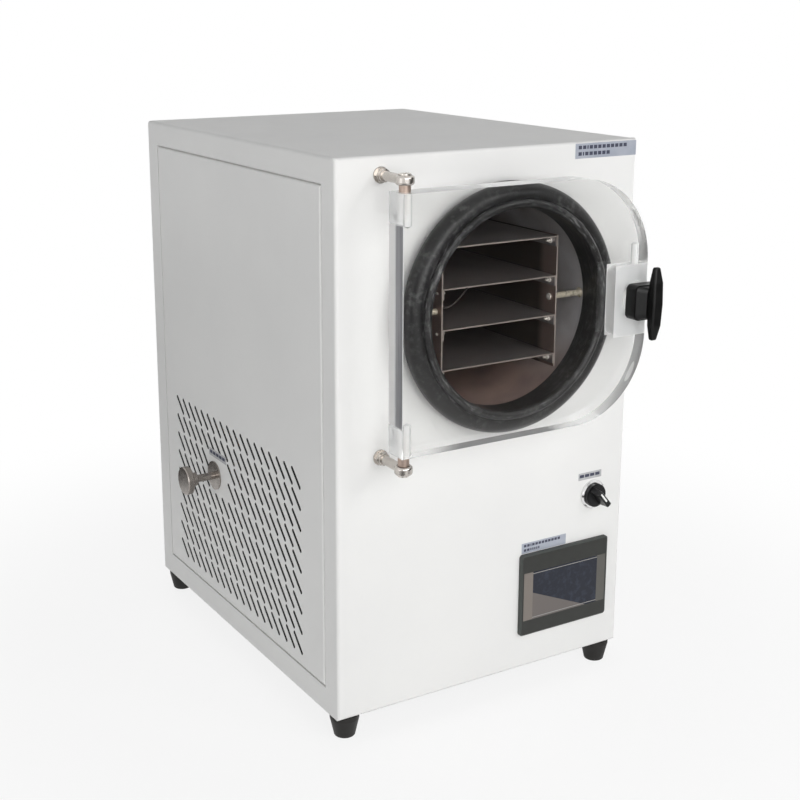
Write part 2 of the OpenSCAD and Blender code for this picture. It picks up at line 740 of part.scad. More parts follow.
// Hermetic shell: a drawn can and lid with a welded belt, on a pressed foot plate.
module compressor() in_cabinet() color([0.12, 0.12, 0.13]) {
    z0 = base_t + grommet_h + seat;
    translate([compressor_x, compressor_y, 0]) {
        translate([0, 0, z0 + 2.5]) rotate_extrude() {
            square([compressor_r - 14, 150]);
            translate([0, 14]) square([compressor_r, 122]);
            translate([compressor_r - 14, 14]) circle(14);
            translate([compressor_r - 14, 136]) circle(14);
            translate([0, 74]) square([compressor_r + 3, 5]);
        }
        difference() {
            translate([-86, -65, z0]) cube([172, 130, 3]);
            for (sx = [-1, 1], sy = [-1, 1])
                rod_z([sx * 76, sy * 55, z0 - cut], 3 + 2 * cut, 4 + seat);
        }
        translate([compressor_r - 6, -22, z0 + 40]) cube([28, 44, 52]);
    }
}

module compressor_grommets() in_cabinet() color(rubber_black) for (p = compressor_feet)
    translate([p[0], p[1], base_t + seat / 2]) difference() {
        cylinder(h = grommet_h, r = 11);
        translate([0, 0, -cut]) cylinder(h = grommet_h + 2 * cut, r = 4 + seat);
    }

core_x = 14;
core_y0 = 63;
room_for_valve = 45.6;
core_w = valve_y - room_for_valve - core_y0;
core_h = 240;
core_t = 34;
core_z = 18;
fan_y = core_y0 + core_w / 2;
fan_z = 150;
fan_r = core_w / 2 - 27;
fin_count = 22;
tube_rows = 6;

// Finned condenser: a pack of plates on hairpin tubes, between two end plates on feet.
module condenser_core() in_cabinet() color([0.66, 0.66, 0.66]) {
    y0 = core_y0;
    for (i = [0:fin_count]) translate([core_x, y0 + i * (core_w - 1) / fin_count, core_z])
        cube([core_t, i % fin_count == 0 ? 1.6 : 0.6, core_h]);
    for (i = [0:tube_rows - 1]) {
        z = core_z + core_h * (i + 0.5) / tube_rows;
        rod_y([core_x + core_t / 2, y0 - 6, z], core_w + 12, 4.5);
    }
    for (y = [y0, y0 + core_w - 1.6]) translate([core_x, y, base_t + seat]) cube([core_t, 1.6, core_z]);
}

// Fan plate with its ring, standing behind the condenser.
module fan_shroud() in_cabinet() color([0.20, 0.20, 0.21]) {
    x0 = core_x + core_t + seat;
    difference() {
        union() {
            translate([x0, core_y0, base_t + seat]) cube([sheet_t, core_w, core_z + core_h - base_t]);
            rod_x([x0, fan_y, fan_z], 26, fan_r + 6);
        }
        rod_x([x0 - cut, fan_y, fan_z], 26 + 2 * cut, fan_r + 3);
    }
    difference() {
        for (a = [0:90:270]) translate([x0 + 22, fan_y, fan_z]) rotate([a, 0, 0])
            translate([0, -3, 20]) cube([4, 6, fan_r - 15]);
        rod_x([x0 + 20, fan_y, fan_z], 10, 24);
    }
    rod_x_ring(x0 + 22, 24.5, 20.3, 4);
}

module rod_x_ring(x, r_out, r_in, len) difference() {
    rod_x([x, fan_y, fan_z], len, r_out);
    rod_x([x - cut, fan_y, fan_z], len + 2 * cut, r_in);
}

fan_shaft_r = 4;
motor_x = core_x + core_t + seat + 20;
module fan_motor() in_cabinet() color([0.14, 0.14, 0.15]) difference() {
    union() {
        rod_x([motor_x, fan_y, fan_z], 38, 20);
        rod_x([motor_x + 38, fan_y, fan_z], 6, 12);
    }
    rod_x([motor_x - cut, fan_y, fan_z], 20 + cut, fan_shaft_r + running);
}

// Fan rotor: hub on its shaft with five pitched blades.
module fan_rotor() in_cabinet() color([0.30, 0.30, 0.31]) {
    hub_x = motor_x - 15;
    rod_x([hub_x, fan_y, fan_z], 14, 17);
    rod_x([hub_x + 14, fan_y, fan_z], 15, fan_shaft_r);
    intersection() {
        translate([hub_x + 7, fan_y, fan_z]) for (i = [0:4]) rotate([i * 72, 0, 0])
            translate([0, 0, 12]) rotate([0, 0, 32]) translate([-1, -20, 0]) cube([2, 40, fan_r]);
        rod_x([hub_x - 4, fan_y, fan_z], 17.5, fan_r);
    }
}

line_r = 3.2;
line_bend = 10;
drier_len = 92;
tube_x = core_x + core_t / 2;
first_tube_z = core_z + core_h * 0.5 / tube_rows;
last_tube_z = core_z + core_h * (tube_rows - 0.5) / tube_rows;
core_end_y = core_y0 + core_w + 6;
liquid_x = 90;
drier_y = core_end_y + 52;
liquid_y = drier_y + drier_len + 16;
suction_x = 130;
suction_y = compressor_y - 5;
foam_back_y = drum_back_y + foam_t;

module filter_drier() in_cabinet() color([0.74, 0.48, 0.30])
    translate([liquid_x, drier_y, first_tube_z]) rotate([-90, 0, 0]) rotate_extrude()
        polygon([[0, 0], [4, 0], [4, 8], [11, 16], [11, drier_len - 16], [4, drier_len - 8],
            [4, drier_len], [0, drier_len]]);

// Discharge line to the condenser, liquid line through the drier to the chamber, and suction line back.
module refrigerant_pipes() in_cabinet() color([0.72, 0.42, 0.25]) {
    shell_left = compressor_x - compressor_r - seat;
    bent_tube([[shell_left, compressor_y + 25, 120], [150, compressor_y + 25, 120],
        [150, compressor_y + 25, last_tube_z], [tube_x, compressor_y + 25, last_tube_z],
        [tube_x, core_end_y + seat, last_tube_z]], line_r, line_bend);
    bent_tube([[tube_x, core_end_y + seat, first_tube_z], [tube_x, core_end_y + 26, first_tube_z],
        [liquid_x, core_end_y + 26, first_tube_z], [liquid_x, drier_y - seat, first_tube_z]],
        line_r, line_bend);
    bent_tube([[liquid_x, drier_y + drier_len + seat, first_tube_z], [liquid_x, liquid_y, first_tube_z],
        [liquid_x, liquid_y, drum_z - 40], [liquid_x, foam_back_y + seat, drum_z - 40]], 2, 10);
    bent_tube([[shell_left, suction_y, 90], [suction_x, suction_y, 90], [suction_x, suction_y, drum_z - 80],
        [suction_x, foam_back_y + seat, drum_z - 80]], coil_r, line_bend);
}

// Closed control box behind the touch panel.
module control_box() in_cabinet() color([0.75, 0.76, 0.76]) {
    translate([cabinet_w - 112, 60, base_t + seat]) difference() {
        cube([100, 200, 130]);
        translate([-cut, 8, 8]) cube([cut + 0.8, 184, 114]);
    }
}

// ---------------------------------------------------------------- rear fittings

// Vacuum tube from the drum's rear wall to a clamped vacuum flange behind the cabinet.
module vacuum_port() in_cabinet() color(stainless) turn_y([drum_x, 0, drum_z]) {
    end_y = cabinet_d + port_out;
    collar_y = cabinet_d + seat;
    polygon([[port_bore_r, drum_depth], [port_tube_r, drum_depth], [port_tube_r, collar_y],
        [port_tube_r + 9, collar_y], [port_tube_r + 9, collar_y + 2.5], [port_tube_r, collar_y + 2.5],
        [port_tube_r, end_y - 5], [port_flange_r, end_y - 3], [port_flange_r, end_y],
        [port_bore_r, end_y]]);
}

// Mains inlet with its flange and three pins.
module power_inlet() in_cabinet() color(rubber_black) translate([inlet_x, cabinet_d, inlet_z]) {
    difference() {
        union() {
            translate([-inlet_w / 2 - 6, seat, -inlet_h / 2 - 3]) cube([inlet_w + 12, 3, inlet_h + 6]);
            translate([-inlet_w / 2 + seat, -22, -inlet_h / 2 + seat])
                cube([inlet_w - 2 * seat, 22 + 2 * seat, inlet_h - 2 * seat]);
        }
        translate([-10.5, -14, -8]) cube([21, 20, 27]);
    }
    for (p = [[0, 12], [-6, -1], [6, -1]]) translate([p[0] - 1, -15, p[1] - 2]) cube([2, 14, 4]);
}

// ---------------------------------------------------------------- drain valve

drain_x = drum_x;
drain_r = 5;
valve_body_x = -panel_proud + sheet_t + seat;

module valve_body() in_cabinet() color([0.72, 0.60, 0.35]) difference() {
    union() {
        rod_x([valve_body_x, valve_y, valve_z], 5, 14);
        rod_x([valve_body_x + 5, valve_y, valve_z], valve_body_len - 5, 11);
    }
    rod_x([valve_body_x - cut, valve_y, valve_z], 20 + cut, valve_stem_r + running);
    rod_x([valve_body_x + valve_body_len - 8, valve_y, valve_z], 8 + cut, drain_r + seat);
}

module valve_escutcheon() in_cabinet() color(stainless) difference() {
    rod_x([-panel_proud - seat - escutcheon_t, valve_y, valve_z], escutcheon_t, escutcheon_r);
    rod_x([-panel_proud - seat - escutcheon_t - cut, valve_y, valve_z], escutcheon_t + 2 * cut,
        valve_stem_r + face_gap);
}

set_screw_r = 2;
set_screw_angles = [205, 325];
collar_x = -valve_reach + valve_disc_t;

// Hand knob turned from bar, one piece with its collar, pinned on the stem by set screws.
module valve_knob() in_cabinet() color(stainless) difference() {
    translate([-valve_reach, valve_y, valve_z]) rotate([0, 90, 0]) rotate_extrude(convexity = 4)
        polygon([[0, 0], [valve_knob_r - 1, 0], [valve_knob_r, 1], [valve_knob_r, valve_disc_t - 1],
            [valve_knob_r - 1, valve_disc_t], [collar_r, valve_disc_t],
            [collar_r, valve_disc_t + collar_len - 0.6], [collar_r - 0.6, valve_disc_t + collar_len],
            [valve_stem_r, valve_disc_t + collar_len], [valve_stem_r, valve_reach + valve_body_x + 19],
            [0, valve_reach + valve_body_x + 19]]);
    for (a = set_screw_angles) translate([collar_x + collar_len / 2, valve_y, valve_z]) rotate([a, 0, 0])
        rod_z([0, 0, valve_stem_r], collar_r, set_screw_r + seat);
}

module knob_set_screws() in_cabinet() color(stainless) for (a = set_screw_angles)
    translate([collar_x + collar_len / 2, valve_y, valve_z]) rotate([a, 0, 0]) difference() {
        rod_z([0, 0, valve_stem_r + seat], collar_r + 1.6 - valve_stem_r, set_screw_r);
        translate([0, 0, collar_r]) cylinder(h = 4, r = 1.1, $fn = 6);
    }

module drain_pipe() in_cabinet() color([0.72, 0.42, 0.25])
    bent_tube([[valve_body_x + valve_body_len - 7, valve_y, valve_z], [drain_x, valve_y, valve_z],
        [drain_x, valve_y, drum_z - drum_outer_r - face_gap]], drain_r, 14);

// ---------------------------------------------------------------- door

eye_levels = [eye_z_upper, eye_z_lower];

// Rod ends: a round eye with a grooved race for the bolt, on a shank with a collar that runs back
// through the front panel.
module rod_ends() in_cabinet() color(stainless) for (z = eye_levels) difference() {
    shank_y0 = hinge_y + bolt_head_r + face_gap;
    collar_y0 = -2 * seat - hinge_washer_t - hinge_nut_h - collar_w;
    union() {
        translate([hinge_x, hinge_y, z]) rotate_extrude() {
            translate([0, -eye_h / 2]) square([eye_r - eye_round, eye_h]);
            translate([eye_r - eye_round, -eye_h / 2 + eye_round])
                square([eye_round, eye_h - 2 * eye_round]);
            for (s = [-1, 1]) translate([eye_r - eye_round, s * (eye_h / 2 - eye_round)]) circle(eye_round);
        }
        rod_y([hinge_x, shank_y0, z], shank_thread_len - shank_y0, shank_r);
        rod_y([hinge_x, collar_y0, z], collar_w, shank_r + 1.4);
    }
    rod_z([hinge_x, hinge_y, z - eye_h], 2 * eye_h, hinge_bolt_r + running);
    for (s = [-1, 1]) translate([hinge_x, hinge_y, z + s * eye_h / 2]) rotate_extrude()
        translate([race_r, -race_depth]) square([race_w, 2 * race_depth]);
}

// A flanged hexagon nut in front of the front panel and a plain one behind it for each rod end.
module hinge_nuts() in_cabinet() color(stainless) for (z = eye_levels) difference() {
    union() {
        rod_y([hinge_x, -seat - hinge_washer_t, z], hinge_washer_t, hinge_washer_r);
        for (y = [-seat - hinge_washer_t - hinge_nut_h, sheet_t + seat])
            rod_y([hinge_x, y, z], hinge_nut_h, hinge_nut_r, $fn = 6);
    }
    rod_y([hinge_x, -2 * hinge_nut_h, z], 4 * hinge_nut_h, shank_r + running);
}

// Bolts through the eyes into the door's edges, with low socket heads: they turn with the door.
module hinge_bolt(len) difference() {
    union() {
        cylinder(h = len, r = hinge_bolt_r);
        translate([0, 0, -bolt_head_h]) cylinder(h = bolt_head_h, r = bolt_head_r);
    }
    translate([0, 0, -bolt_head_h - cut]) cylinder(h = bolt_head_h + cut + 1, r = bolt_socket_r, $fn = 6);
}

module hinge_bolts() in_cabinet() color(stainless) {
    reach = hinge_hole_depth - 12;
    translate([hinge_x, hinge_y, eye_z_upper + eye_h / 2 + seat]) mirror([0, 0, 1])
        hinge_bolt(eye_z_upper + eye_h / 2 + seat - door_z1 + reach);
    translate([hinge_x, hinge_y, eye_z_lower - eye_h / 2 - seat])
        hinge_bolt(door_z0 - eye_z_lower + eye_h / 2 + seat + reach);
}

module hinge_spacers() in_cabinet() color([0.55, 0.47, 0.42])
    for (s = [[door_z1 + seat, upper_spacer_h], [door_z0 - seat - lower_spacer_h, lower_spacer_h]])
        difference() {
            rod_z([hinge_x, hinge_y, s[0]], s[1], hinge_bolt_r + spacer_wall);
            rod_z([hinge_x, hinge_y, s[0] - cut], s[1] + 2 * cut, hinge_bolt_r + running);
        }

// Door outline as (x, z): square corners at the hinge, round ones at the free edge.
module door_outline() {
    w = door_x1 - door_x0;
    h = door_z1 - door_z0;
    r = min(door_corner_r, h / 2);
    translate([door_x0, door_z0]) {
        square([w - r, h]);
        translate([0, r]) square([w, h - 2 * r]);
        for (z = [r, h - r]) translate([w - r, z]) circle(r, $fn = 160);
    }
}

// Latch block outline as (x, z), flush with the door's free edge; grow widens it into a notch.
module latch_outline(grow) {
    r = latch_corner_r + grow;
    translate([door_x1 - latch_w - grow, clamp_z - latch_h / 2 - grow]) {
        translate([r, 0]) square([latch_w + grow - r, latch_h + 2 * grow]);
        translate([0, r]) square([latch_w + grow, latch_h + 2 * grow - 2 * r]);
        for (z = [r, latch_h + 2 * grow - r]) translate([r, z]) circle(r);
    }
}

dowel_r = 5;
dowel_in = 17;
dowel_out = 22;

module blind_hole(depth, r) {
    translate([0, 0, -cut]) cylinder(h = depth + cut, r = r);
    translate([0, 0, depth]) cylinder(h = 0.5 * r, r1 = r, r2 = 0);
}

module door_plate() in_cabinet() color(clear_acrylic) difference() {
    plate_xz(door_y0, door_t) difference() {
        door_outline();
        latch_outline(seat);
        translate([door_x1 - 2 * seat, clamp_z - latch_h / 2 - seat]) square([cut, latch_h + 2 * seat]);
    }
    translate([hinge_x, hinge_y, door_z1]) mirror([0, 0, 1])
        blind_hole(hinge_hole_depth, hinge_bolt_r + running);
    translate([hinge_x, hinge_y, door_z0]) blind_hole(hinge_hole_depth, hinge_bolt_r + running);
    translate([clamp_x, hinge_y, clamp_z + latch_h / 2]) blind_hole(dowel_out + 1, dowel_r + seat);
}

module latch_block() in_cabinet() color([0.90, 0.92, 0.91]) difference() {
    plate_xz(door_y0, door_t) latch_outline(0);
    rod_y([clamp_x, door_y0 - cut, clamp_z], door_t + 2 * cut, latch_hole_r);
    rod_z([clamp_x, hinge_y, clamp_z + latch_h / 2 - dowel_in - 1], dowel_in + 2, dowel_r + seat);
}

module latch_dowel() in_cabinet() color([0.90, 0.90, 0.88])
    rod_z([clamp_x, hinge_y, clamp_z + latch_h / 2 - dowel_in], dowel_in + dowel_out, dowel_r);

// ---------------------------------------------------------------- clamp

// Post on the front panel, its head's bore at the thread's outside radius.
module clamp_post() in_cabinet() color([0.35, 0.34, 0.33]) difference() {
    union() {
        rod_y([clamp_x, -post_len, clamp_z], post_head_len, post_head_r);
        rod_y([clamp_x, -post_len, clamp_z], post_len, post_r);
        rod_y([clamp_x, -cut, clamp_z], cut + sheet_t + 10, stud_root_r);
        rod_y([clamp_x, sheet_t + seat, clamp_z], 6, 9);
    }
    rod_y([clamp_x, -post_len - cut, clamp_z], stud_grip + 6 + cut, stud_root_r + 1.1);
}

module clamp_washer() in_cabinet() color([0.95, 0.95, 0.94]) difference() {
    rod_y([clamp_x, washer_y0, clamp_z], washer_t, washer_r);
    rod_y([clamp_x, washer_y0 - cut, clamp_z], washer_t + 2 * cut, stud_r + running);
}

stud_in_hub = 12;
module clamp_stud() in_cabinet() color(stainless) {
    rod_y([clamp_x, hub_y0 + hub_d - stud_in_hub, clamp_z],
        -door_gap - 0.5 - (hub_y0 + hub_d - stud_in_hub), stud_r);
    rod_y([clamp_x, -door_gap - 0.5, clamp_z], stud_tip_y + door_gap + 0.5 - 1, stud_root_r);
    translate([clamp_x, stud_tip_y - 1, clamp_z]) rotate([-90, 0, 0])
        cylinder(h = 1, r1 = stud_root_r, r2 = stud_root_r - 1);
}

// T grip: chamfered square hub, a short neck and a crowned bar.
module clamp_knob() in_cabinet() color([0.07, 0.07, 0.07]) translate([clamp_x, 0, clamp_z])
    rotate([0, grip_tilt, 0]) difference() {
        union() {
            plate_xz(hub_y0, hub_d) translate([-hub_w / 2, -hub_w / 2]) round_rect(hub_w, hub_w, 7);
            hull() {
                plate_xz(hub_y0, 0.5) translate([-hub_w / 2 + 2, -hub_w / 2 + 1])
                    round_rect(hub_w - 4, hub_w - 2, 6);
                plate_xz(grip_back_y - 1, 1) translate([-8, -hub_w / 2 + 3])
                    round_rect(16, hub_w - 6, 6);
            }
            grip_bar();
        }
        rod_y([0, hub_y0 + hub_d - stud_in_hub - seat, 0], stud_in_hub + cut, stud_r + seat);
    }

module grip_bar() {
    edge_r = 2.5;
    half = grip_len / 2 - edge_r;
    // Half widths and the crown of the bar, at its middle, shoulders and tips
    stations = [[0, 7, 0], [24, 6.6, 1.4], [half, 4.2, 5.2]];
    hull() for (s = stations, side = [-1, 1], x = [-1, 1]) {
        translate([x * (s[1] - edge_r), grip_front_y + edge_r + s[2] * 0.7, side * s[0]])
            sphere(edge_r, $fn = 24);
        translate([x * (s[1] - edge_r), grip_back_y - edge_r - s[2] * 0.3, side * s[0]])
            sphere(edge_r, $fn = 24);
    }
}

// ---------------------------------------------------------------- controls

glass_x0 = hmi_x0 + (hmi_w - glass_w) / 2;
glass_z0 = hmi_z0 + (hmi_h - glass_h) / 2 - 1.5;

module hmi_housing() in_cabinet() color([0.22, 0.25, 0.25]) difference() {
    union() {
        hull() {
            plate_xz(-hmi_proud + hmi_chamfer, hmi_proud - hmi_chamfer - seat)
                translate([hmi_x0, hmi_z0]) round_rect(hmi_w, hmi_h, 4);
            plate_xz(-hmi_proud, 1) translate([hmi_x0 + hmi_chamfer, hmi_z0 + hmi_chamfer])
                round_rect(hmi_w - 2 * hmi_chamfer, hmi_h - 2 * hmi_chamfer, 4 - hmi_chamfer);
        }
        translate([hmi_x0 + hmi_cut_margin + seat, -hmi_proud + 1, hmi_z0 + hmi_cut_margin + seat])
            cube([hmi_w - 2 * hmi_cut_margin - 2 * seat, hmi_depth + hmi_proud,
                hmi_h - 2 * hmi_cut_margin - 2 * seat]);
    }
    translate([glass_x0, -hmi_proud - cut, glass_z0]) cube([glass_w, glass_t + seat + cut, glass_h]);
}

module hmi_screen() in_cabinet() color([0.13, 0.17, 0.20])
    translate([glass_x0 + seat, -hmi_proud, glass_z0 + seat])
        cube([glass_w - 2 * seat, glass_t, glass_h - 2 * seat]);

module selector_body() in_cabinet() color([0.15, 0.15, 0.15]) {
    rod_y([selector_x, -1, selector_z], 12, selector_hole_r - 0.3);
    translate([selector_x - 14, 11, selector_z - 14]) cube([28, 34, 28]);
}

module selector_ring() in_cabinet() color([0.80, 0.80, 0.80]) turn_y([selector_x, 0, selector_z])
    difference() {
        polygon([[handle_r + face_gap, -ring_h], [ring_r - 1.5, -ring_h], [ring_r, -ring_h + 2],
            [ring_r, -seat], [selector_hole_r - 0.2, -seat], [selector_hole_r - 0.2, -2],
            [handle_r + face_gap, -2]]);
    }

// Round handle with a raised bar across it, narrower at its top and with rounded ends.
module selector_handle() in_cabinet() color([0.08, 0.08, 0.08])
    translate([selector_x, 0, selector_z]) rotate([0, -selector_angle, 0]) {
        rod_y([0, -handle_face + 1, 0], handle_face - 3 - face_gap, handle_r);
        rod_y([0, -handle_face, 0], 1 + seat, handle_r - 1);
        hull() {
            bar_plate(-handle_face + 0.5, grip_bar_len, grip_bar_w + 1.4);
            bar_plate(-selector_grip_h + 1, grip_bar_len - 1.6, grip_bar_w);
            bar_plate(-selector_grip_h, grip_bar_len - 3.6, grip_bar_w - 1.6);
        }
    }

module bar_plate(y, len, w) translate([-len / 2, y, -w / 2]) rotate([-90, 0, 0]) mirror([0, 1, 0])
    linear_extrude(0.5) round_rect(len, w, 1.2);

// ---------------------------------------------------------------- nodes

front_panel();
top_panel();
left_frame();
right_frame();
left_panel();
right_panel();
base_plate();
rear_panel();
rear_screws();
feet();
foot_screws();
chamber_drum();
drum_gasket();
evaporator_coil();
drum_insulation();
drum_deck();
rack_side_left();
rack_side_right();
shelf_1();
shelf_2();
shelf_3();
shelf_4();
rack_screws();
rack_pins();
shelf_heaters();
probe_lead();
compressor();
compressor_grommets();
condenser_core();
fan_shroud();
fan_motor();
fan_rotor();
filter_drier();
refrigerant_pipes();
control_box();
vacuum_port();
power_inlet();
valve_body();
valve_escutcheon();
valve_knob();
knob_set_screws();
drain_pipe();
rod_ends();
hinge_nuts();
hinge_bolts();
hinge_spacers();
door_plate();
latch_block();
latch_dowel();
clamp_post();
clamp_washer();
clamp_stud();
clamp_knob();
hmi_housing();
hmi_screen();
selector_body();
selector_ring();
selector_handle();
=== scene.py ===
"""Looks of the bench freeze dryer: finishes, labels, screen, marks, small fittings, light and camera."""
import json
import math

import bmesh
import bpy
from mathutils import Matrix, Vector

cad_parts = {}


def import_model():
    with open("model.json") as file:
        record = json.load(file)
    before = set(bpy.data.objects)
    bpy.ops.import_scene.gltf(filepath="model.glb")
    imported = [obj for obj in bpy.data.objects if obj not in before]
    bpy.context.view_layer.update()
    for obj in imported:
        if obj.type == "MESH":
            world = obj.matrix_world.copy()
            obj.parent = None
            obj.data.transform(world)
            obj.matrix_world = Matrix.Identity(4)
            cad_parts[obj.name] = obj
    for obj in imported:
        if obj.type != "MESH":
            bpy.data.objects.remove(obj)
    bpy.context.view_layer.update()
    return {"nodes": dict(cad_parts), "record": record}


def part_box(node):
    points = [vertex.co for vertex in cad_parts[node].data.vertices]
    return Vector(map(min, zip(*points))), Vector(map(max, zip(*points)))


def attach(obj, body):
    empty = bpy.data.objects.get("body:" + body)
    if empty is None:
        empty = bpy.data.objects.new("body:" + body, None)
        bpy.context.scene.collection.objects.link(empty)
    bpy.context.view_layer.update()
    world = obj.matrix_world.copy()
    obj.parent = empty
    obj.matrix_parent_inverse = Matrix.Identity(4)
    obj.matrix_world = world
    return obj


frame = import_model()

MM = 0.001

# Enough bounces for light that goes through the thick acrylic into the chamber and back.
paths = bpy.context.scene.cycles
paths.max_bounces = 20
paths.glossy_bounces = 12
paths.transmission_bounces = 20
paths.transparent_max_bounces = 16


# ---------------------------------------------------------------- node helpers

def new_node(tree, kind, **settings):
    made = tree.nodes.new(kind)
    for key, value in settings.items():
        setattr(made, key, value)
    return made


class Shade:
    """A material under construction: its tree, its Principled shader and small node makers."""

    def __init__(self, name, color, roughness, metallic=0.0, **sockets):
        self.material = bpy.data.materials.new(name)
        self.material.use_nodes = True
        self.tree = self.material.node_tree
        self.bsdf = self.tree.nodes["Principled BSDF"]
        self.output = self.tree.nodes["Material Output"]
        self.bsdf.inputs["Base Color"].default_value = (*color, 1.0)
        self.bsdf.inputs["Roughness"].default_value = roughness
        self.bsdf.inputs["Metallic"].default_value = metallic
        for socket, value in sockets.items():
            self.bsdf.inputs[socket.replace("_", " ")].default_value = value
        self.normal = None
        self.position = self.node("ShaderNodeTexCoord").outputs["Object"]

    def node(self, kind, **settings):
        return new_node(self.tree, kind, **settings)

    def put(self, value, socket):
        """Links a socket, or sets a plain value."""
        if isinstance(value, bpy.types.NodeSocket):
            self.tree.links.new(value, socket)
        else:
            socket.default_value = value

    def math(self, operation, first, *others):
        """A Math node; a product, sum, largest or smallest may take more than two values."""
        result = first
        for value in others or (0.0,):
            made = self.node("ShaderNodeMath", operation=operation)
            self.put(result, made.inputs[0])
            self.put(value, made.inputs[1])
            result = made.outputs[0]
        return result

    def noise(self, scale, stretch=(1, 1, 1), detail=3.0, roughness=0.5, position=None):
        """Noise over the object's coordinates in metres, stretched, or over another position."""
        made = self.node("ShaderNodeTexNoise")
        if position is None:
            mapping = self.node("ShaderNodeMapping")
            self.put(self.position, mapping.inputs["Vector"])
            mapping.inputs["Scale"].default_value = stretch
            position = mapping.outputs[0]
        self.put(position, made.inputs["Vector"])
        made.inputs["Scale"].default_value = scale
        made.inputs["Detail"].default_value = detail
        made.inputs["Roughness"].default_value = roughness
        return made.outputs[0]

    def spread(self, value, low, high, to_low=0.0, to_high=1.0, smooth=False):
        """Maps low..high to to_low..to_high and clamps."""
        kind = "SMOOTHSTEP" if smooth else "LINEAR"
        made = self.node("ShaderNodeMapRange", interpolation_type=kind)
        for name, part in (("Value", value), ("From Min", low), ("From Max", high),
                           ("To Min", to_low), ("To Max", to_high)):
            self.put(part, made.inputs[name])
        return made.outputs[0]

    def axes(self):
        made = self.node("ShaderNodeSeparateXYZ")
        self.put(self.position, made.inputs[0])
        return made.outputs

    def blend(self, factor, first, second):
        """Colour between two, by factor."""
        made = self.node("ShaderNodeMix", data_type="RGBA")
        self.put(factor, made.inputs["Factor"])
        for socket, value in ((made.inputs["A"], first), (made.inputs["B"], second)):
            self.put((*value, 1.0) if isinstance(value, tuple) and len(value) == 3 else value, socket)
        return made.outputs["Result"]

    def paint(self, factor, other):
        """Lays another colour over the base where factor is high."""
        base = self.bsdf.inputs["Base Color"]
        now = base.links[0].from_socket if base.is_linked else tuple(base.default_value)[:3]
        self.put(self.blend(factor, now, other), base)

    def mottle(self, other, share, scale, detail=3.0, low=0.4, high=0.7):
        """Paints soft patches of another colour, up to a share of it."""
        self.paint(self.spread(self.noise(scale, detail=detail), low, high, 0.0, share), other)

    def polish(self, value):
        self.put(value, self.bsdf.inputs["Roughness"])

    def worn(self, low, high, scale, detail=3.0, start=0.3):
        """Roughness that wanders between two values."""
        self.polish(self.spread(self.noise(scale, detail=detail), start, 0.7, low, high))

    def worn_softly(self, low, high, scale, stretch=(1, 1, 1)):
        """Roughness that wanders with no fine detail, for what is seen through the thick acrylic."""
        self.polish(self.spread(self.noise(scale, stretch, detail=0), -0.2, 1.2, low, high))

    def bump(self, height, depth, strength=1.0):
        """Adds relief; depth in metres."""
        made = self.node("ShaderNodeBump")
        made.inputs["Strength"].default_value = strength
        made.inputs["Distance"].default_value = depth
        self.put(height, made.inputs["Height"])
        if self.normal:
            self.put(self.normal, made.inputs["Normal"])
        self.normal = made.outputs[0]
        self.put(self.normal, self.bsdf.inputs["Normal"])

    def lets_lamps_through(self, share):
        """Glass that casts only a light shadow."""
        path = self.node("ShaderNodeLightPath")
        clear = self.node("ShaderNodeBsdfTransparent")
        mix = self.node("ShaderNodeMixShader")
        self.put(self.math("MULTIPLY", path.outputs["Is Shadow Ray"], share), mix.inputs[0])
        self.put(self.bsdf.outputs[0], mix.inputs[1])
        self.put(clear.outputs[0], mix.inputs[2])
        self.put(mix.outputs[0], self.output.inputs["Surface"])


def facing(shade, direction, start=0.9):
    """1 on faces that look along a direction, else 0."""
    made = shade.node("ShaderNodeVectorMath", operation="DOT_PRODUCT")
    shade.put(shade.node("ShaderNodeNewGeometry").outputs["True Normal"], made.inputs[0])
    made.inputs[1].default_value = direction
    return shade.spread(made.outputs["Value"], start, start + 0.02)


def within(shade, low, high):
    """1 inside a box in the object's frame, else 0."""
    inside = 1.0
    for axis, a, b in zip(shade.axes(), low, high):
        above = shade.math("GREATER_THAN", axis, a)
        below = shade.math("LESS_THAN", axis, b)
        inside = shade.math("MULTIPLY", shade.math("MULTIPLY", above, below), inside)
    return inside


def distance_to_line(shade, point, along):
    """Distance in metres from a line through point along the named axis."""
    x, y, z = shade.axes()
    parts = {"X": x, "Y": y, "Z": z}
    centre = dict(zip("XYZ", point))
    squares = [shade.math("POWER", shade.math("SUBTRACT", parts[a], centre[a]), 2.0)
               for a in "XYZ" if a != along]
    return shade.math("SQRT", shade.math("ADD", *squares))


# ---------------------------------------------------------------- places

def middle(node):
    low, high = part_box(node)
    return (low + high) / 2


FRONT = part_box("front_panel")[0].y
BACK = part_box("rear_panel")[1].y
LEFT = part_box("left_frame")[0].x
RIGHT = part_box("right_frame")[1].x
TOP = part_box("top_panel")[1].z
DRUM = middle("drum_gasket")
HINGE = middle("hinge_bolts")
VALVE = middle("valve_escutcheon")
SELECTOR = middle("selector_ring")

SKIN = 1.2 * MM             # from a sheet's painted face to the unlit space behind it
SIDE_SKIN = 5.2 * MM        # the same for a side, whose tray lies behind its frame
BORE = 118 * MM             # the chamber's inner radius
FRONTWARD = (0, -1, 0)
BRUSHED = (1, 0.3, 1)       # stretches a noise along the depth, as brushing does


# ---------------------------------------------------------------- materials

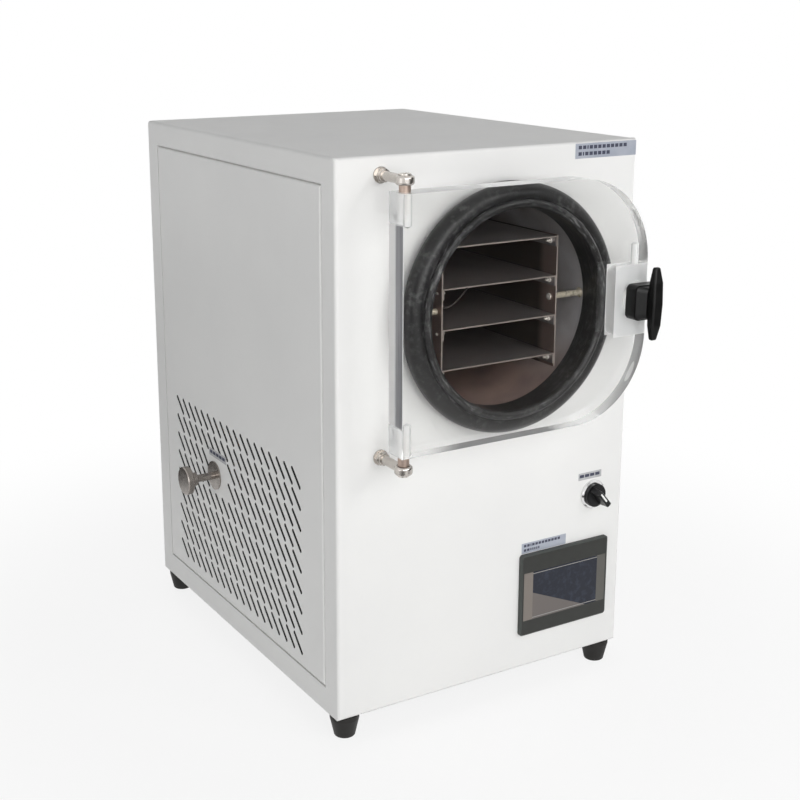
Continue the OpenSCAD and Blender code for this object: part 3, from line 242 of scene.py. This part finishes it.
def white_paint(name, slotted=False):
    """Fine-textured powder coat, a little mottled; painted shade darkens the unlit inside and the slots'
    walls.
    """
    s = Shade(name, (0.84, 0.835, 0.82), 0.45, Specular_IOR_Level=0.16)
    s.mottle((0.79, 0.785, 0.775), 0.5, 7, 4, 0.35)
    # Painted shade: near black on every face inside the cabinet, where little light reaches.
    inside = within(s, (LEFT + SIDE_SKIN, FRONT + SKIN, -1), (RIGHT - SIDE_SKIN, BACK - SKIN, TOP - SKIN))
    s.paint(inside, (0.03, 0.03, 0.03))
    if slotted:
        low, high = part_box("left_panel")
        inset = 7 * MM
        sheet_face = s.math("MAXIMUM", facing(s, (-1, 0, 0)), facing(s, (1, 0, 0)))
        wall = s.math("SUBTRACT", 1.0, sheet_face)
        field = within(s, (-1, low.y + inset, low.z + inset), (1, high.y - inset, high.z - inset))
        # Painted shade: near black on the walls of the slots, where the light does not reach.
        s.paint(s.math("MULTIPLY", wall, field), (0.035, 0.035, 0.035))
    s.worn(0.42, 0.52, 60)
    s.bump(s.noise(1500, detail=1), 0.00008, 0.35)
    s.bump(s.noise(9, detail=0), 0.0006, 0.12)
    return s.material


def zinc():
    """Galvanised sheet, its colour kept dark as painted shade for the unlit inside."""
    # Painted shade: a dark base colour, because the sheet lies in the dark inside and is seen through the
    # slots.
    s = Shade("zinc_plate", (0.16, 0.165, 0.17), 0.5, 0.8)
    s.paint(s.noise(40, detail=4), (0.10, 0.105, 0.11))
    s.worn(0.28, 0.5, 90)
    return s.material


def turned_steel(name, color, roughness, axis):
    """Stainless steel with fine lathe marks round one axis."""
    s = Shade(name, color, roughness, 1.0)
    stretch = tuple(60.0 if a == axis else 1.0 for a in "XYZ")
    lines = s.noise(110, stretch, detail=2)
    s.paint(s.spread(lines, 0.4, 0.7, 0.0, 0.5), tuple(c * 0.72 for c in color))
    s.worn(roughness * 0.8, roughness * 1.35, 160)
    s.bump(lines, 0.00006, 0.3)
    return s.material


def sheet_steel(name, color, roughness, edge):
    """Brushed stainless sheet, with a highlight painted on its cut front edges."""
    s = Shade(name, color, roughness, 0.7)
    s.mottle(tuple(c * 0.75 for c in color), 0.6, 16, 4, 0.35)
    s.worn_softly(roughness * 0.85, roughness * 1.2, 40, BRUSHED)
    # Painted highlight: a pale colour on the faces that look to the front.
    s.paint(facing(s, FRONTWARD), edge)
    return s.material


def rack_sheet():
    """Rack side plate, lit along its front and in the shade of the shelves further in."""
    s = Shade("rack_sheet", (0.10, 0.08, 0.07), 0.3, 0.7)
    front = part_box("rack_side_right")[0].y
    depth = s.spread(s.axes()[1], front + 20 * MM, front + 34 * MM, 1.0, 0.0, smooth=True)
    s.paint(depth, (0.30, 0.225, 0.20))
    s.worn_softly(0.26, 0.36, 40, BRUSHED)
    s.paint(facing(s, FRONTWARD), (0.62, 0.53, 0.48))
    return s.material


def rubber(name, color, roughness):
    """Moulded rubber."""
    s = Shade(name, color, roughness, Specular_IOR_Level=0.35)
    s.worn(roughness * 0.85, roughness * 1.3, 45, 4)
    s.bump(s.noise(700, detail=2), 0.0001, 0.2)
    return s.material


def gasket_rubber():
    """Thick door seal: dark rubber with painted light that makes it paler low down, dusty, with scuffs
    that run round its inner lip.
    """
    s = Shade("gasket_rubber", (0.009, 0.009, 0.0095), 0.32, Specular_IOR_Level=0.37)
    s.mottle((0.018, 0.018, 0.019), 0.7, 9)
    x, y, z = s.axes()
    # Painted light: paler towards the bottom, for the light that reaches the seal from the floor and the
    # front panel.
    low = s.spread(z, DRUM.z - 110 * MM, DRUM.z + 20 * MM, 0.85, 0.0, smooth=True)
    s.paint(low, (0.034, 0.033, 0.033))

    radius = distance_to_line(s, DRUM, "Y")
    angle = s.math("ARCTAN2", s.math("SUBTRACT", z, DRUM.z), s.math("SUBTRACT", x, DRUM.x))
    metres_a_radian = 0.02      # well under the radius, so each scratch is drawn out round the lip
    round_it = s.node("ShaderNodeCombineXYZ")
    for value, socket in zip((s.math("MULTIPLY", angle, metres_a_radian), radius, y), round_it.inputs):
        s.put(value, socket)
    scratches = s.spread(s.noise(420, detail=5, position=round_it.outputs[0]), 0.52, 0.68)
    lip_start = s.spread(radius, 112 * MM, 115 * MM)
    lip_end = s.spread(radius, 127 * MM, 122 * MM)
    patches = s.spread(s.noise(16, detail=2), 0.40, 0.58)
    s.paint(s.math("MULTIPLY", scratches, patches, lip_start, lip_end, 0.9), (0.22, 0.22, 0.22))

    specks = s.spread(s.noise(150, detail=5), 0.50, 0.66)
    clouds = s.spread(s.noise(22, detail=3), 0.42, 0.62)
    s.paint(s.math("MULTIPLY", specks, clouds, 0.75), (0.075, 0.075, 0.074))
    s.worn_softly(0.24, 0.44, 30)
    return s.material


def plastic(name, color, roughness, grain=900, depth=0.00006, specular=0.35):
    """Moulded plastic with a fine grain."""
    s = Shade(name, color, roughness, Specular_IOR_Level=specular)
    s.worn(roughness * 0.85, roughness * 1.2, 70)
    s.bump(s.noise(grain, detail=2), depth, 0.4)
    return s.material


def metal_paint(name, color, roughness):
    """Enamel on a machine part, in slightly paler patches."""
    s = Shade(name, color, roughness)
    s.mottle(tuple(c * 1.6 + 0.01 for c in color), 0.4, 20, 4)
    s.bump(s.noise(600, detail=2), 0.0001, 0.35)
    return s.material


def copper():
    """Copper tube, tarnished in patches."""
    s = Shade("copper_tube", (0.72, 0.40, 0.26), 0.3, 1.0)
    s.mottle((0.38, 0.20, 0.13), 0.8, 35, 5, 0.4, 0.65)
    s.worn(0.22, 0.5, 80)
    return s.material


def dull_metal(name, color, roughness, metallic=1.0):
    """Small fittings of plain metal, a little stained."""
    s = Shade(name, color, roughness, metallic)
    s.mottle(tuple(c * 0.7 for c in color), 0.5, 120)
    s.worn(roughness * 0.8, roughness * 1.3, 200)
    return s.material


def foam():
    """Black closed-cell insulation."""
    s = Shade("closed_cell_foam", (0.045, 0.045, 0.047), 0.9)
    s.bump(s.noise(500, detail=5, roughness=0.7), 0.0006, 0.6)
    return s.material


def drum_steel():
    """Stained stainless chamber wall, with painted warm light and reflection towards its floor."""
    s = Shade("drum_wall", (0.62, 0.61, 0.62), 0.34, 0.25)
    # Painted light and reflection: warm and pale towards the chamber's floor.
    down = s.spread(s.axes()[2], DRUM.z - BORE, DRUM.z - 30 * MM, 1.0, 0.0, smooth=True)
    s.paint(down, (0.60, 0.44, 0.38))
    s.mottle((0.25, 0.20, 0.19), 0.7, 11, 5, 0.40, 0.66)
    s.worn_softly(0.26, 0.38, 40, BRUSHED)
    return s.material


def clear_acrylic():
    """Cast acrylic sheet: polished faces, cloudy rims, satin drilled holes, a saw-cut hinge edge pale at
    the back with a painted streaky grey reflection towards the front.
    """
    s = Shade("clear_acrylic", (0.945, 0.948, 0.945), 0.0, IOR=1.49)
    hole = distance_to_line(s, HINGE, "Z")
    dowel = distance_to_line(s, middle("latch_dowel"), "Z")
    drilled = s.spread(s.math("MINIMUM", hole, dowel), 6 * MM, 6.5 * MM, 1.0, 0.0)
    low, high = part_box("latch_block")
    edge = Vector((1.0, 1.0, 1.0)) * MM
    satin = s.math("MAXIMUM", drilled, within(s, low - edge, high + edge))
    s.paint(satin, (0.93, 0.93, 0.92))

    low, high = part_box("door_plate")
    x, y, z = s.axes()
    bored = 31 * MM             # the hinge holes' depth from the plate's top and bottom
    above = s.spread(z, low.z + bored, low.z + bored + 2 * MM)
    below = s.spread(z, high.z - bored, high.z - bored - 2 * MM)
    at_edge = s.spread(x, low.x + 0.2 * MM, low.x + 0.3 * MM, 1.0, 0.0)
    cut = s.math("MULTIPLY", at_edge, above, below)
    depth = s.spread(y, low.y, high.y)
    rear = s.spread(depth, 0.46, 0.62, smooth=True)
    # The hinge edge: a pale satin cut at the back, and a painted dark grey reflection in streaks towards
    # the front.
    streaks = s.spread(s.noise(70, (1, 2.2, 0.09), detail=4), 0.35, 0.65)
    streaky_reflection = s.blend(streaks, (0.13, 0.13, 0.14), (0.30, 0.30, 0.32))
    sawn_edge_and_reflection = s.blend(rear, streaky_reflection, (0.95, 0.94, 0.93))
    s.paint(s.math("MULTIPLY", cut, s.spread(depth, 0.02, 0.06)), sawn_edge_and_reflection)

    s.polish(s.math("MAXIMUM", s.math("MULTIPLY", satin, 0.5), s.math("MULTIPLY", cut, 0.4)))
    polished_face = s.math("MAXIMUM", facing(s, FRONTWARD), facing(s, (0, 1, 0)))
    rim = s.math("SUBTRACT", 1.0, polished_face)
    cloudy = s.math("MAXIMUM", s.math("MULTIPLY", satin, 0.6), s.math("MULTIPLY", rim, 0.4),
                    s.math("MULTIPLY", cut, s.spread(rear, 0.0, 1.0, 0.72, 0.35)))
    s.put(s.math("SUBTRACT", 1.0, cloudy), s.bsdf.inputs["Transmission Weight"])
    s.lets_lamps_through(0.72)
    return s.material


def milky_acrylic():
    """Milled acrylic block: cloudy all through, with faint cutter marks."""
    s = Shade("milky_acrylic", (0.88, 0.885, 0.88), 0.42, IOR=1.49)
    s.bsdf.inputs["Transmission Weight"].default_value = 0.42
    s.worn(0.34, 0.55, 60, 4)
    s.bump(s.noise(400, (1, 1, 0.2), detail=3), 0.0001, 0.2)
    s.lets_lamps_through(0.4)
    return s.material


def bezel():
    """Grey-black moulded bezel, its bevel paler where it catches the light."""
    s = Shade("bezel_grey", (0.030, 0.031, 0.028), 0.5, Specular_IOR_Level=0.35)
    s.paint(s.math("SUBTRACT", 1.0, facing(s, FRONTWARD, 0.95)), (0.055, 0.060, 0.056))
    s.worn(0.42, 0.58, 70)
    s.bump(s.noise(1300, detail=2), 0.00006, 0.4)
    return s.material


def display():
    """Panel window: a dark picture with a painted grey reflection over one corner and two pale lines,
    between two printed margins.

    Places on it are shares of its width and height.
    """
    s = Shade("display_window", (0.010, 0.013, 0.024), 0.1, Specular_IOR_Level=0.35)
    low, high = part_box("hmi_screen")
    x, _, z = s.axes()
    across = s.spread(x, low.x, high.x)
    up = s.spread(z, low.z, high.z)
    s.paint(s.spread(s.noise(120, detail=5, roughness=0.7), 0.5, 0.72, 0.0, 0.6), (0.040, 0.050, 0.080))
    # Painted reflection: grey over the window's lower left corner.
    slope = s.math("ADD", s.math("MULTIPLY", across, 0.86), up)
    s.paint(s.spread(slope, 0.66, 0.65), (0.145, 0.128, 0.120))
    for bottom, top in ((0.955, 0.972), (0.028, 0.045)):
        line = s.math("MULTIPLY", s.spread(up, bottom, bottom + 0.002), s.spread(up, top, top - 0.002))
        s.paint(line, (0.30, 0.29, 0.28))
    s.paint(s.spread(across, 0.108, 0.107), (0.20, 0.175, 0.155))
    s.paint(s.spread(across, 0.895, 0.896), (0.105, 0.10, 0.09))
    s.worn(0.06, 0.2, 30, 5, 0.35)
    return s.material


def label_film():
    """Printed silver-blue label film."""
    s = Shade("label_film", (0.40, 0.43, 0.50), 0.35, 0.2)
    s.mottle((0.52, 0.54, 0.60), 0.6, 60, 2, 0.35)
    s.bump(s.noise(300, detail=2), 0.00005, 0.25)
    return s.material


def paper_film():
    """Grey paper strip."""
    s = Shade("paper_film", (0.52, 0.52, 0.53), 0.5)
    s.mottle((0.36, 0.36, 0.375), 0.5, 90, 2, 0.35)
    return s.material


def ink(name, color):
    """Printed ink."""
    s = Shade(name, color, 0.6)
    s.worn(0.5, 0.7, 400)
    return s.material


MATERIALS = {
    "front_panel top_panel left_frame right_frame rear_panel": white_paint("white_paint"),
    "left_panel right_panel": white_paint("white_paint_slotted", slotted=True),
    "base_plate drum_deck": zinc(),
    "rear_screws foot_screws": turned_steel("screw_steel", (0.68, 0.65, 0.60), 0.25, "X"),
    "rack_screws": dull_metal("rack_screw_steel", (0.85, 0.80, 0.74), 0.25, 0.4),
    "feet compressor_grommets": rubber("foot_rubber", (0.011, 0.010, 0.009), 0.5),
    "chamber_drum": drum_steel(),
    "drum_gasket": gasket_rubber(),
    "evaporator_coil refrigerant_pipes filter_drier drain_pipe": copper(),
    "drum_insulation": foam(),
    "rack_side_left rack_side_right": rack_sheet(),
    "shelf_1 shelf_2 shelf_3 shelf_4":
        sheet_steel("shelf_sheet", (0.34, 0.315, 0.31), 0.34, (0.50, 0.43, 0.39)),
    "rack_pins": dull_metal("pin_metal", (0.62, 0.56, 0.44), 0.28, 0.35),
    "shelf_heaters": plastic("heater_mat", (0.22, 0.07, 0.035), 0.7),
    "probe_lead": plastic("probe_sheath", (0.05, 0.04, 0.035), 0.6),
    "compressor fan_shroud fan_motor": metal_paint("black_enamel", (0.02, 0.02, 0.021), 0.38),
    # Painted shade: the condenser fins are near black so that the side slots look dark.
    "condenser_core": metal_paint("fin_black_painted_shade", (0.012, 0.012, 0.012), 0.45),
    "fan_rotor power_inlet selector_body": plastic("dark_nylon", (0.03, 0.03, 0.032), 0.5),
    "control_box": metal_paint("grey_paint", (0.20, 0.205, 0.21), 0.45),
    "vacuum_port": turned_steel("port_steel", (0.66, 0.65, 0.63), 0.22, "Y"),
    "valve_escutcheon valve_knob": turned_steel("knob_steel", (0.35, 0.32, 0.295), 0.2, "X"),
    "knob_set_screws": turned_steel("set_screw_steel", (0.25, 0.24, 0.23), 0.3, "Z"),
    "rod_ends hinge_nuts": turned_steel("hinge_steel", (0.56, 0.525, 0.49), 0.2, "Y"),
    "hinge_bolts": turned_steel("bolt_steel", (0.66, 0.62, 0.57), 0.25, "Z"),
    "hinge_spacers": dull_metal("bronze_spacer", (0.42, 0.33, 0.28), 0.42),
    "valve_body": dull_metal("valve_brass", (0.68, 0.52, 0.26), 0.3),
    "door_plate": clear_acrylic(),
    "latch_block latch_dowel": milky_acrylic(),
    "clamp_post": turned_steel("post_steel", (0.40, 0.38, 0.36), 0.3, "Y"),
    "clamp_stud": turned_steel("stud_steel", (0.60, 0.58, 0.55), 0.25, "Y"),
    "clamp_washer": plastic("white_nylon", (0.85, 0.85, 0.83), 0.4, 500),
    "clamp_knob": plastic("black_phenolic", (0.004, 0.004, 0.004), 0.36, 1200, 0.00005, 0.25),
    "selector_handle": plastic("handle_black", (0.006, 0.006, 0.007), 0.3, 1200, 0.00004, 0.3),
    "hmi_housing": bezel(),
    "hmi_screen": display(),
    "selector_ring": turned_steel("ring_chrome", (0.80, 0.80, 0.80), 0.12, "Y"),
}


def finish_cad():
    """Gives every CAD node its material."""
    for names, material in MATERIALS.items():
        for name in names.split():
            mesh = frame["nodes"][name].data
            mesh.materials.clear()
            mesh.materials.append(material)
    left_out = set(frame["nodes"]) - set(" ".join(MATERIALS).split())
    assert not left_out, left_out


finish_cad()


# ---------------------------------------------------------------- pieces

def add_piece(name, body, materials, build):
    """A new mesh piece that rides on a body; build fills its bmesh."""
    mesh = bpy.data.meshes.new(name)
    bm = bmesh.new()
    build(bm)
    bmesh.ops.recalc_face_normals(bm, faces=bm.faces)
    bm.to_mesh(mesh)
    bm.free()
    for material in materials:
        mesh.materials.append(material)
    piece = bpy.data.objects.new(name, mesh)
    bpy.context.scene.collection.objects.link(piece)
    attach(piece, body)


def plate(bm, origin, right, up, width, height, thick, radius=0.0, index=0):
    """A flat plate, its lower left corner at origin, standing out along right x up; radius rounds it."""
    out = right.cross(up)
    corners = [(width - radius, radius, -90), (width - radius, height - radius, 0),
               (radius, height - radius, 90), (radius, radius, 180)]
    turns = [90 * i / 5 for i in range(6)] if radius else [0]
    outline = []
    for cx, cy, start in corners:
        for turn in turns:
            a = math.radians(start + turn)
            outline.append((cx + radius * math.cos(a), cy + radius * math.sin(a)))
    back = [bm.verts.new(origin + right * x + up * y) for x, y in outline]
    face = [bm.verts.new(v.co + out * thick) for v in back]
    made = [bm.faces.new(face), bm.faces.new(back[::-1])]
    for i in range(len(outline)):
        j = (i + 1) % len(outline)
        made.append(bm.faces.new((back[i], back[j], face[j], face[i])))
    for f in made:
        f.material_index = index


def label(name, node, origin, right, up, width, height, rows, film, mark):
    """A stuck-on label with rows of plain dashes; a dash of length 1 is about square."""
    thick = 0.15 * MM
    ink_thick = 0.03 * MM

    def build(bm):
        plate(bm, origin, right, up, width, height, thick, 0.5 * MM)
        out = right.cross(up)
        pitch = height / (len(rows) + 0.35)
        unit, dash_height, gap = pitch * 0.66, pitch * 0.56, pitch * 0.2
        first, last = width * 0.05, width * 0.97
        for row, dashes in enumerate(rows):
            x = first
            z = height - pitch * (row + 0.9)
            for dash in dashes:
                size = dash * unit
                if x + size > last:
                    break
                start = origin + right * x + up * z + out * thick
                plate(bm, start, right, up, size, dash_height, ink_thick, index=1)
                x += size + gap
    add_piece(name, frame_body(node), [film, mark], build)


def frame_body(node):
    """The name of the body that a CAD node belongs to."""
    for body, nodes in frame["record"]["behaviour"]["bodies"].items():
        if node in nodes:
            return body
    raise KeyError(node)


def labels():
    """The four labels: top right corner, above the operator panel, the selector and the drain valve."""
    right, up = Vector((1, 0, 0)), Vector((0, 0, 1))
    film, paper, dark = label_film(), paper_film(), ink("label_ink", (0.05, 0.055, 0.09))
    long_row = (1.0, 1.0, 0.4, 1.0, 1.0, 1.0, 1.0, 1.0, 1.0, 1.0, 1.0, 1.0)
    corner = Vector((RIGHT - 90 * MM, FRONT, TOP - 19 * MM))
    label("label_top_right", "front_panel", corner, right, up, 89 * MM, 17 * MM,
          [long_row, (1.0, 0.4, 1.0, 1.0, 1.0, 1.0, 1.0, 1.0)], film, dark)
    low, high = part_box("hmi_housing")
    corner = Vector((low.x + 3 * MM, FRONT, high.z + 0.5 * MM))
    label("label_above_panel", "front_panel", corner, right, up, 66 * MM, 13 * MM,
          [long_row, (1.0, 1.0, 0.5, 0.5, 0.5, 0.5, 0.5)], film, dark)
    corner = Vector((SELECTOR.x - 22 * MM, FRONT, SELECTOR.z + 20 * MM))
    label("label_above_selector", "front_panel", corner, right, up, 35 * MM, 9 * MM,
          [(1.5, 1.5, 1.5, 1.5)], paper, dark)
    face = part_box("left_panel")[0].x
    corner = Vector((face, VALVE.y + 16 * MM, VALVE.z + 24 * MM))
    label("label_above_valve", "left_panel", corner, Vector((0, -1, 0)), up, 52 * MM, 10 * MM,
          [(1.6, 1.6, 1.6, 1.6, 1.6)], paper, dark)


labels()


REST_ANGLE = 130            # where the selector points at rest, in degrees from the right
TURNED_ANGLE = 40           # where it points at its other position


def from_selector(degrees):
    """The directions along and across a line on the front that leaves the selector's centre."""
    angle = math.radians(degrees)
    along = Vector((math.cos(angle), 0, math.sin(angle)))
    return along, Vector((-along.z, 0, along.x))


def pointer():
    """White index line on the pointing half of the selector's bar."""
    low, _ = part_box("selector_handle")
    along, across = from_selector(REST_ANGLE)
    length, width = 14 * MM, 2.2 * MM
    behind = 3.4 * MM
    start = Vector((SELECTOR.x, low.y, SELECTOR.z)) - along * behind - across * width / 2

    def build(bm):
        plate(bm, start, along, across, length, width, 0.12 * MM, 0.6 * MM)
    white = ink("index_white", (0.85, 0.85, 0.83))
    add_piece("selector_pointer", "selector", [white], build)


pointer()


def lathe(bm, start, along, profile, sides):
    """A capped, turned or hexagonal body: profile holds (distance along, radius) pairs."""
    side = along.orthogonal().normalized()
    up = along.cross(side)
    rings = []
    for reach, radius in profile:
        ring = []
        for i in range(sides):
            a = math.tau * (i + 0.5) / sides
            spot = start + along * reach + (side * math.cos(a) + up * math.sin(a)) * radius
            ring.append(bm.verts.new(spot))
        rings.append(ring)
    for near, far in zip(rings, rings[1:]):
        for i in range(sides):
            j = (i + 1) % sides
            bm.faces.new((near[i], near[j], far[j], far[i]))
    bm.faces.new(rings[0][::-1])
    bm.faces.new(rings[-1])


def rack_nuts():
    """Hexagon nuts and threaded screw tails inside the rack, below the ends of each shelf."""
    left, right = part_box("rack_side_left"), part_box("rack_side_right")
    inset = 9 * MM              # from the rack's front and rear to its screws
    seat = 1.8 * MM             # from a rack side, past the shelf's folded edge, to its nuts
    crest, root = 1.5 * MM, 1.25 * MM
    first_thread, thread_pitch = 2.2 * MM, 0.5 * MM
    tail = [(0.0, crest)]
    for i in range(9):
        reach = first_thread + thread_pitch * i
        tail += [(reach, crest), (reach + thread_pitch / 2, root)]
    nut = [(0.0, 2.9 * MM), (0.25 * MM, 3.2 * MM), (2.15 * MM, 3.2 * MM), (2.4 * MM, 2.9 * MM)]

    def build(bm):
        for i in range(1, 5):
            z = middle("shelf_%d" % i).z
            for y in (left[0].y + inset, left[1].y - inset):
                for x, way in ((left[1].x + seat, 1), (right[0].x - seat, -1)):
                    place, along = Vector((x, y, z)), Vector((way, 0, 0))
                    lathe(bm, place, along, nut, 6)
                    lathe(bm, place, along, tail, 14)
    add_piece("rack_nuts", frame_body("rack_screws"),
              [dull_metal("rack_nut_steel", (0.85, 0.80, 0.74), 0.25, 0.4)], build)


rack_nuts()


def switch_marks():
    """Two plain dashes on the ring, where the handle points in its two positions."""
    low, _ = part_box("selector_ring")
    out = 15 * MM
    length, width = 1.6 * MM, 1.0 * MM

    def build(bm):
        for degrees in (REST_ANGLE, TURNED_ANGLE):
            along, across = from_selector(degrees)
            start = Vector((SELECTOR.x, low.y, SELECTOR.z)) + along * out - across * width / 2
            plate(bm, start, along, across, length, width, 0.04 * MM)
    add_piece("switch_marks", frame_body("selector_ring"),
              [ink("ring_ink", (0.04, 0.04, 0.04))], build)


switch_marks()


# ---------------------------------------------------------------- stage, light and camera

OBJECT_MIDDLE = (0.0, 0.0, 0.35)


def rectangle(name, width, height, material):
    """A flat sheet in the horizontal plane, centred on its own origin."""
    w, h = width / 2, height / 2
    mesh = bpy.data.meshes.new(name)
    mesh.from_pydata([(-w, -h, 0), (w, -h, 0), (w, h, 0), (-w, h, 0)], [], [(0, 1, 2, 3)])
    mesh.materials.append(material)
    made = bpy.data.objects.new(name, mesh)
    bpy.context.scene.collection.objects.link(made)
    return made


def aim_at(thing, place, aim):
    """Puts a lamp, card or camera at a place and turns its -Z towards a point."""
    thing.location = place
    thing.rotation_mode = "QUATERNION"
    thing.rotation_quaternion = (Vector(aim) - Vector(place)).to_track_quat("-Z", "Y")


def floor():
    """A pale floor that keeps the object's soft shadow and fades to plain white far out."""
    s = Shade("floor_white", (0.90, 0.90, 0.895), 0.9)
    made = rectangle("floor", 60.0, 60.0, s.material)
    path = s.node("ShaderNodeLightPath")
    glow = s.node("ShaderNodeEmission")
    glow.inputs["Strength"].default_value = 1.0
    far = s.node("ShaderNodeVectorMath", operation="LENGTH")
    s.put(s.position, far.inputs[0])
    share = s.spread(far.outputs["Value"], 0.35, 1.0, 0.84, 1.0, smooth=True)
    seen = s.math("MAXIMUM", path.outputs["Is Camera Ray"],
                  path.outputs["Is Glossy Ray"], path.outputs["Is Transmission Ray"])
    mix = s.node("ShaderNodeMixShader")
    s.put(s.math("MULTIPLY", share, seen), mix.inputs[0])
    s.put(s.bsdf.outputs[0], mix.inputs[1])
    s.put(glow.outputs[0], mix.inputs[2])
    s.put(mix.outputs[0], s.output.inputs["Surface"])


def world():
    """White where it is seen or mirrored; as light, it fades from the horizon to nothing overhead."""
    made = bpy.data.worlds.new("studio")
    bpy.context.scene.world = made
    made.use_nodes = True
    tree = made.node_tree
    tree.nodes.clear()
    link = tree.links.new

    height = new_node(tree, "ShaderNodeSeparateXYZ")
    link(new_node(tree, "ShaderNodeTexCoord").outputs["Generated"], height.inputs[0])
    fade = new_node(tree, "ShaderNodeMapRange")
    for name, value in (("From Min", 0.0), ("From Max", 1.0), ("To Min", 0.73), ("To Max", 0.0)):
        fade.inputs[name].default_value = value
    link(height.outputs["Z"], fade.inputs["Value"])
    light = new_node(tree, "ShaderNodeBackground")
    light.inputs["Color"].default_value = (0.97, 0.985, 1.0, 1.0)
    link(fade.outputs[0], light.inputs["Strength"])

    seen = new_node(tree, "ShaderNodeBackground")
    seen.inputs["Color"].default_value = (1.0, 1.0, 1.0, 1.0)
    path = new_node(tree, "ShaderNodeLightPath")
    mirrored = new_node(tree, "ShaderNodeMath", operation="MAXIMUM")
    link(path.outputs["Is Glossy Ray"], mirrored.inputs[0])
    link(path.outputs["Is Transmission Ray"], mirrored.inputs[1])
    shown = new_node(tree, "ShaderNodeMath", operation="MAXIMUM")
    link(path.outputs["Is Camera Ray"], shown.inputs[0])
    link(mirrored.outputs[0], shown.inputs[1])

    mix = new_node(tree, "ShaderNodeMixShader")
    link(shown.outputs[0], mix.inputs[0])
    link(light.outputs[0], mix.inputs[1])
    link(seen.outputs[0], mix.inputs[2])
    link(mix.outputs[0], new_node(tree, "ShaderNodeOutputWorld").inputs["Surface"])


def lamp(name, place, size, watts, mirrored=True):
    """A soft rectangular lamp, unseen by the camera, that points at the object's middle."""
    data = bpy.data.lights.new(name, "AREA")
    data.shape = "RECTANGLE"
    data.size, data.size_y = size
    data.energy = watts
    made = bpy.data.objects.new(name, data)
    bpy.context.scene.collection.objects.link(made)
    aim_at(made, place, OBJECT_MIDDLE)
    made.visible_camera = False
    made.visible_glossy = mirrored


def dark_card(name, place, aim, size, through_glass=False):
    """A dark flag that is only seen mirrored in metal and acrylic, and with through_glass behind it."""
    made = rectangle(name, *size, Shade(name, (0.05, 0.045, 0.04), 0.9).material)
    aim_at(made, place, aim)
    made.visible_camera = False
    made.visible_diffuse = False
    made.visible_transmission = through_glass
    made.visible_shadow = False


def camera():
    """The photograph's viewing angle, from the front left and a little above."""
    data = bpy.data.cameras.new("camera")
    data.sensor_width = 36.0
    data.lens = 61.43
    data.shift_x = 0.031
    data.shift_y = -0.0875
    data.clip_end = 100.0
    made = bpy.data.objects.new("camera", data)
    bpy.context.scene.collection.objects.link(made)
    bpy.context.scene.camera = made
    azimuth = math.radians(-30.82)
    elevation = math.radians(13.66)
    distance = 1.7064
    aim = Vector((-0.0003, 0.0, 0.4119))
    level = math.cos(elevation)
    back = Vector((math.sin(azimuth) * level, -math.cos(azimuth) * level, math.sin(elevation)))
    aim_at(made, aim + back * distance, aim)


floor()
world()
lamp("key", (-0.6, -3.2, 1.35), (2.4, 2.0), 52)
lamp("key_right", (1.3, -2.4, 1.9), (0.9, 0.9), 13)
lamp("fill_left", (-3.0, -0.8, 0.8), (1.6, 1.2), 9)
lamp("fill_right", (3.2, 0.5, 0.9), (1.6, 1.2), 16, mirrored=False)
lamp("fill_back", (0.5, 3.3, 1.0), (2.0, 1.4), 20, mirrored=False)
dark_card("flag_right", (3.2, -1.6, 1.0), (0, 0, 0.4), (2.6, 3.0))
dark_card("flag_door", (0.55, -0.95, 0.28), (0.0, -0.29, 0.28), (0.75, 0.6), through_glass=True)
dark_card("flag_valve", (-0.47, 0.66, 0.06), (-0.18, 0.1, 0.22), (0.9, 0.7))
dark_card("flag_low", (-0.60, -0.75, 0.02), (-0.60, -0.75, 1.0), (0.7, 0.8))
camera()

bpy.context.scene.view_settings.view_transform = "Standard"
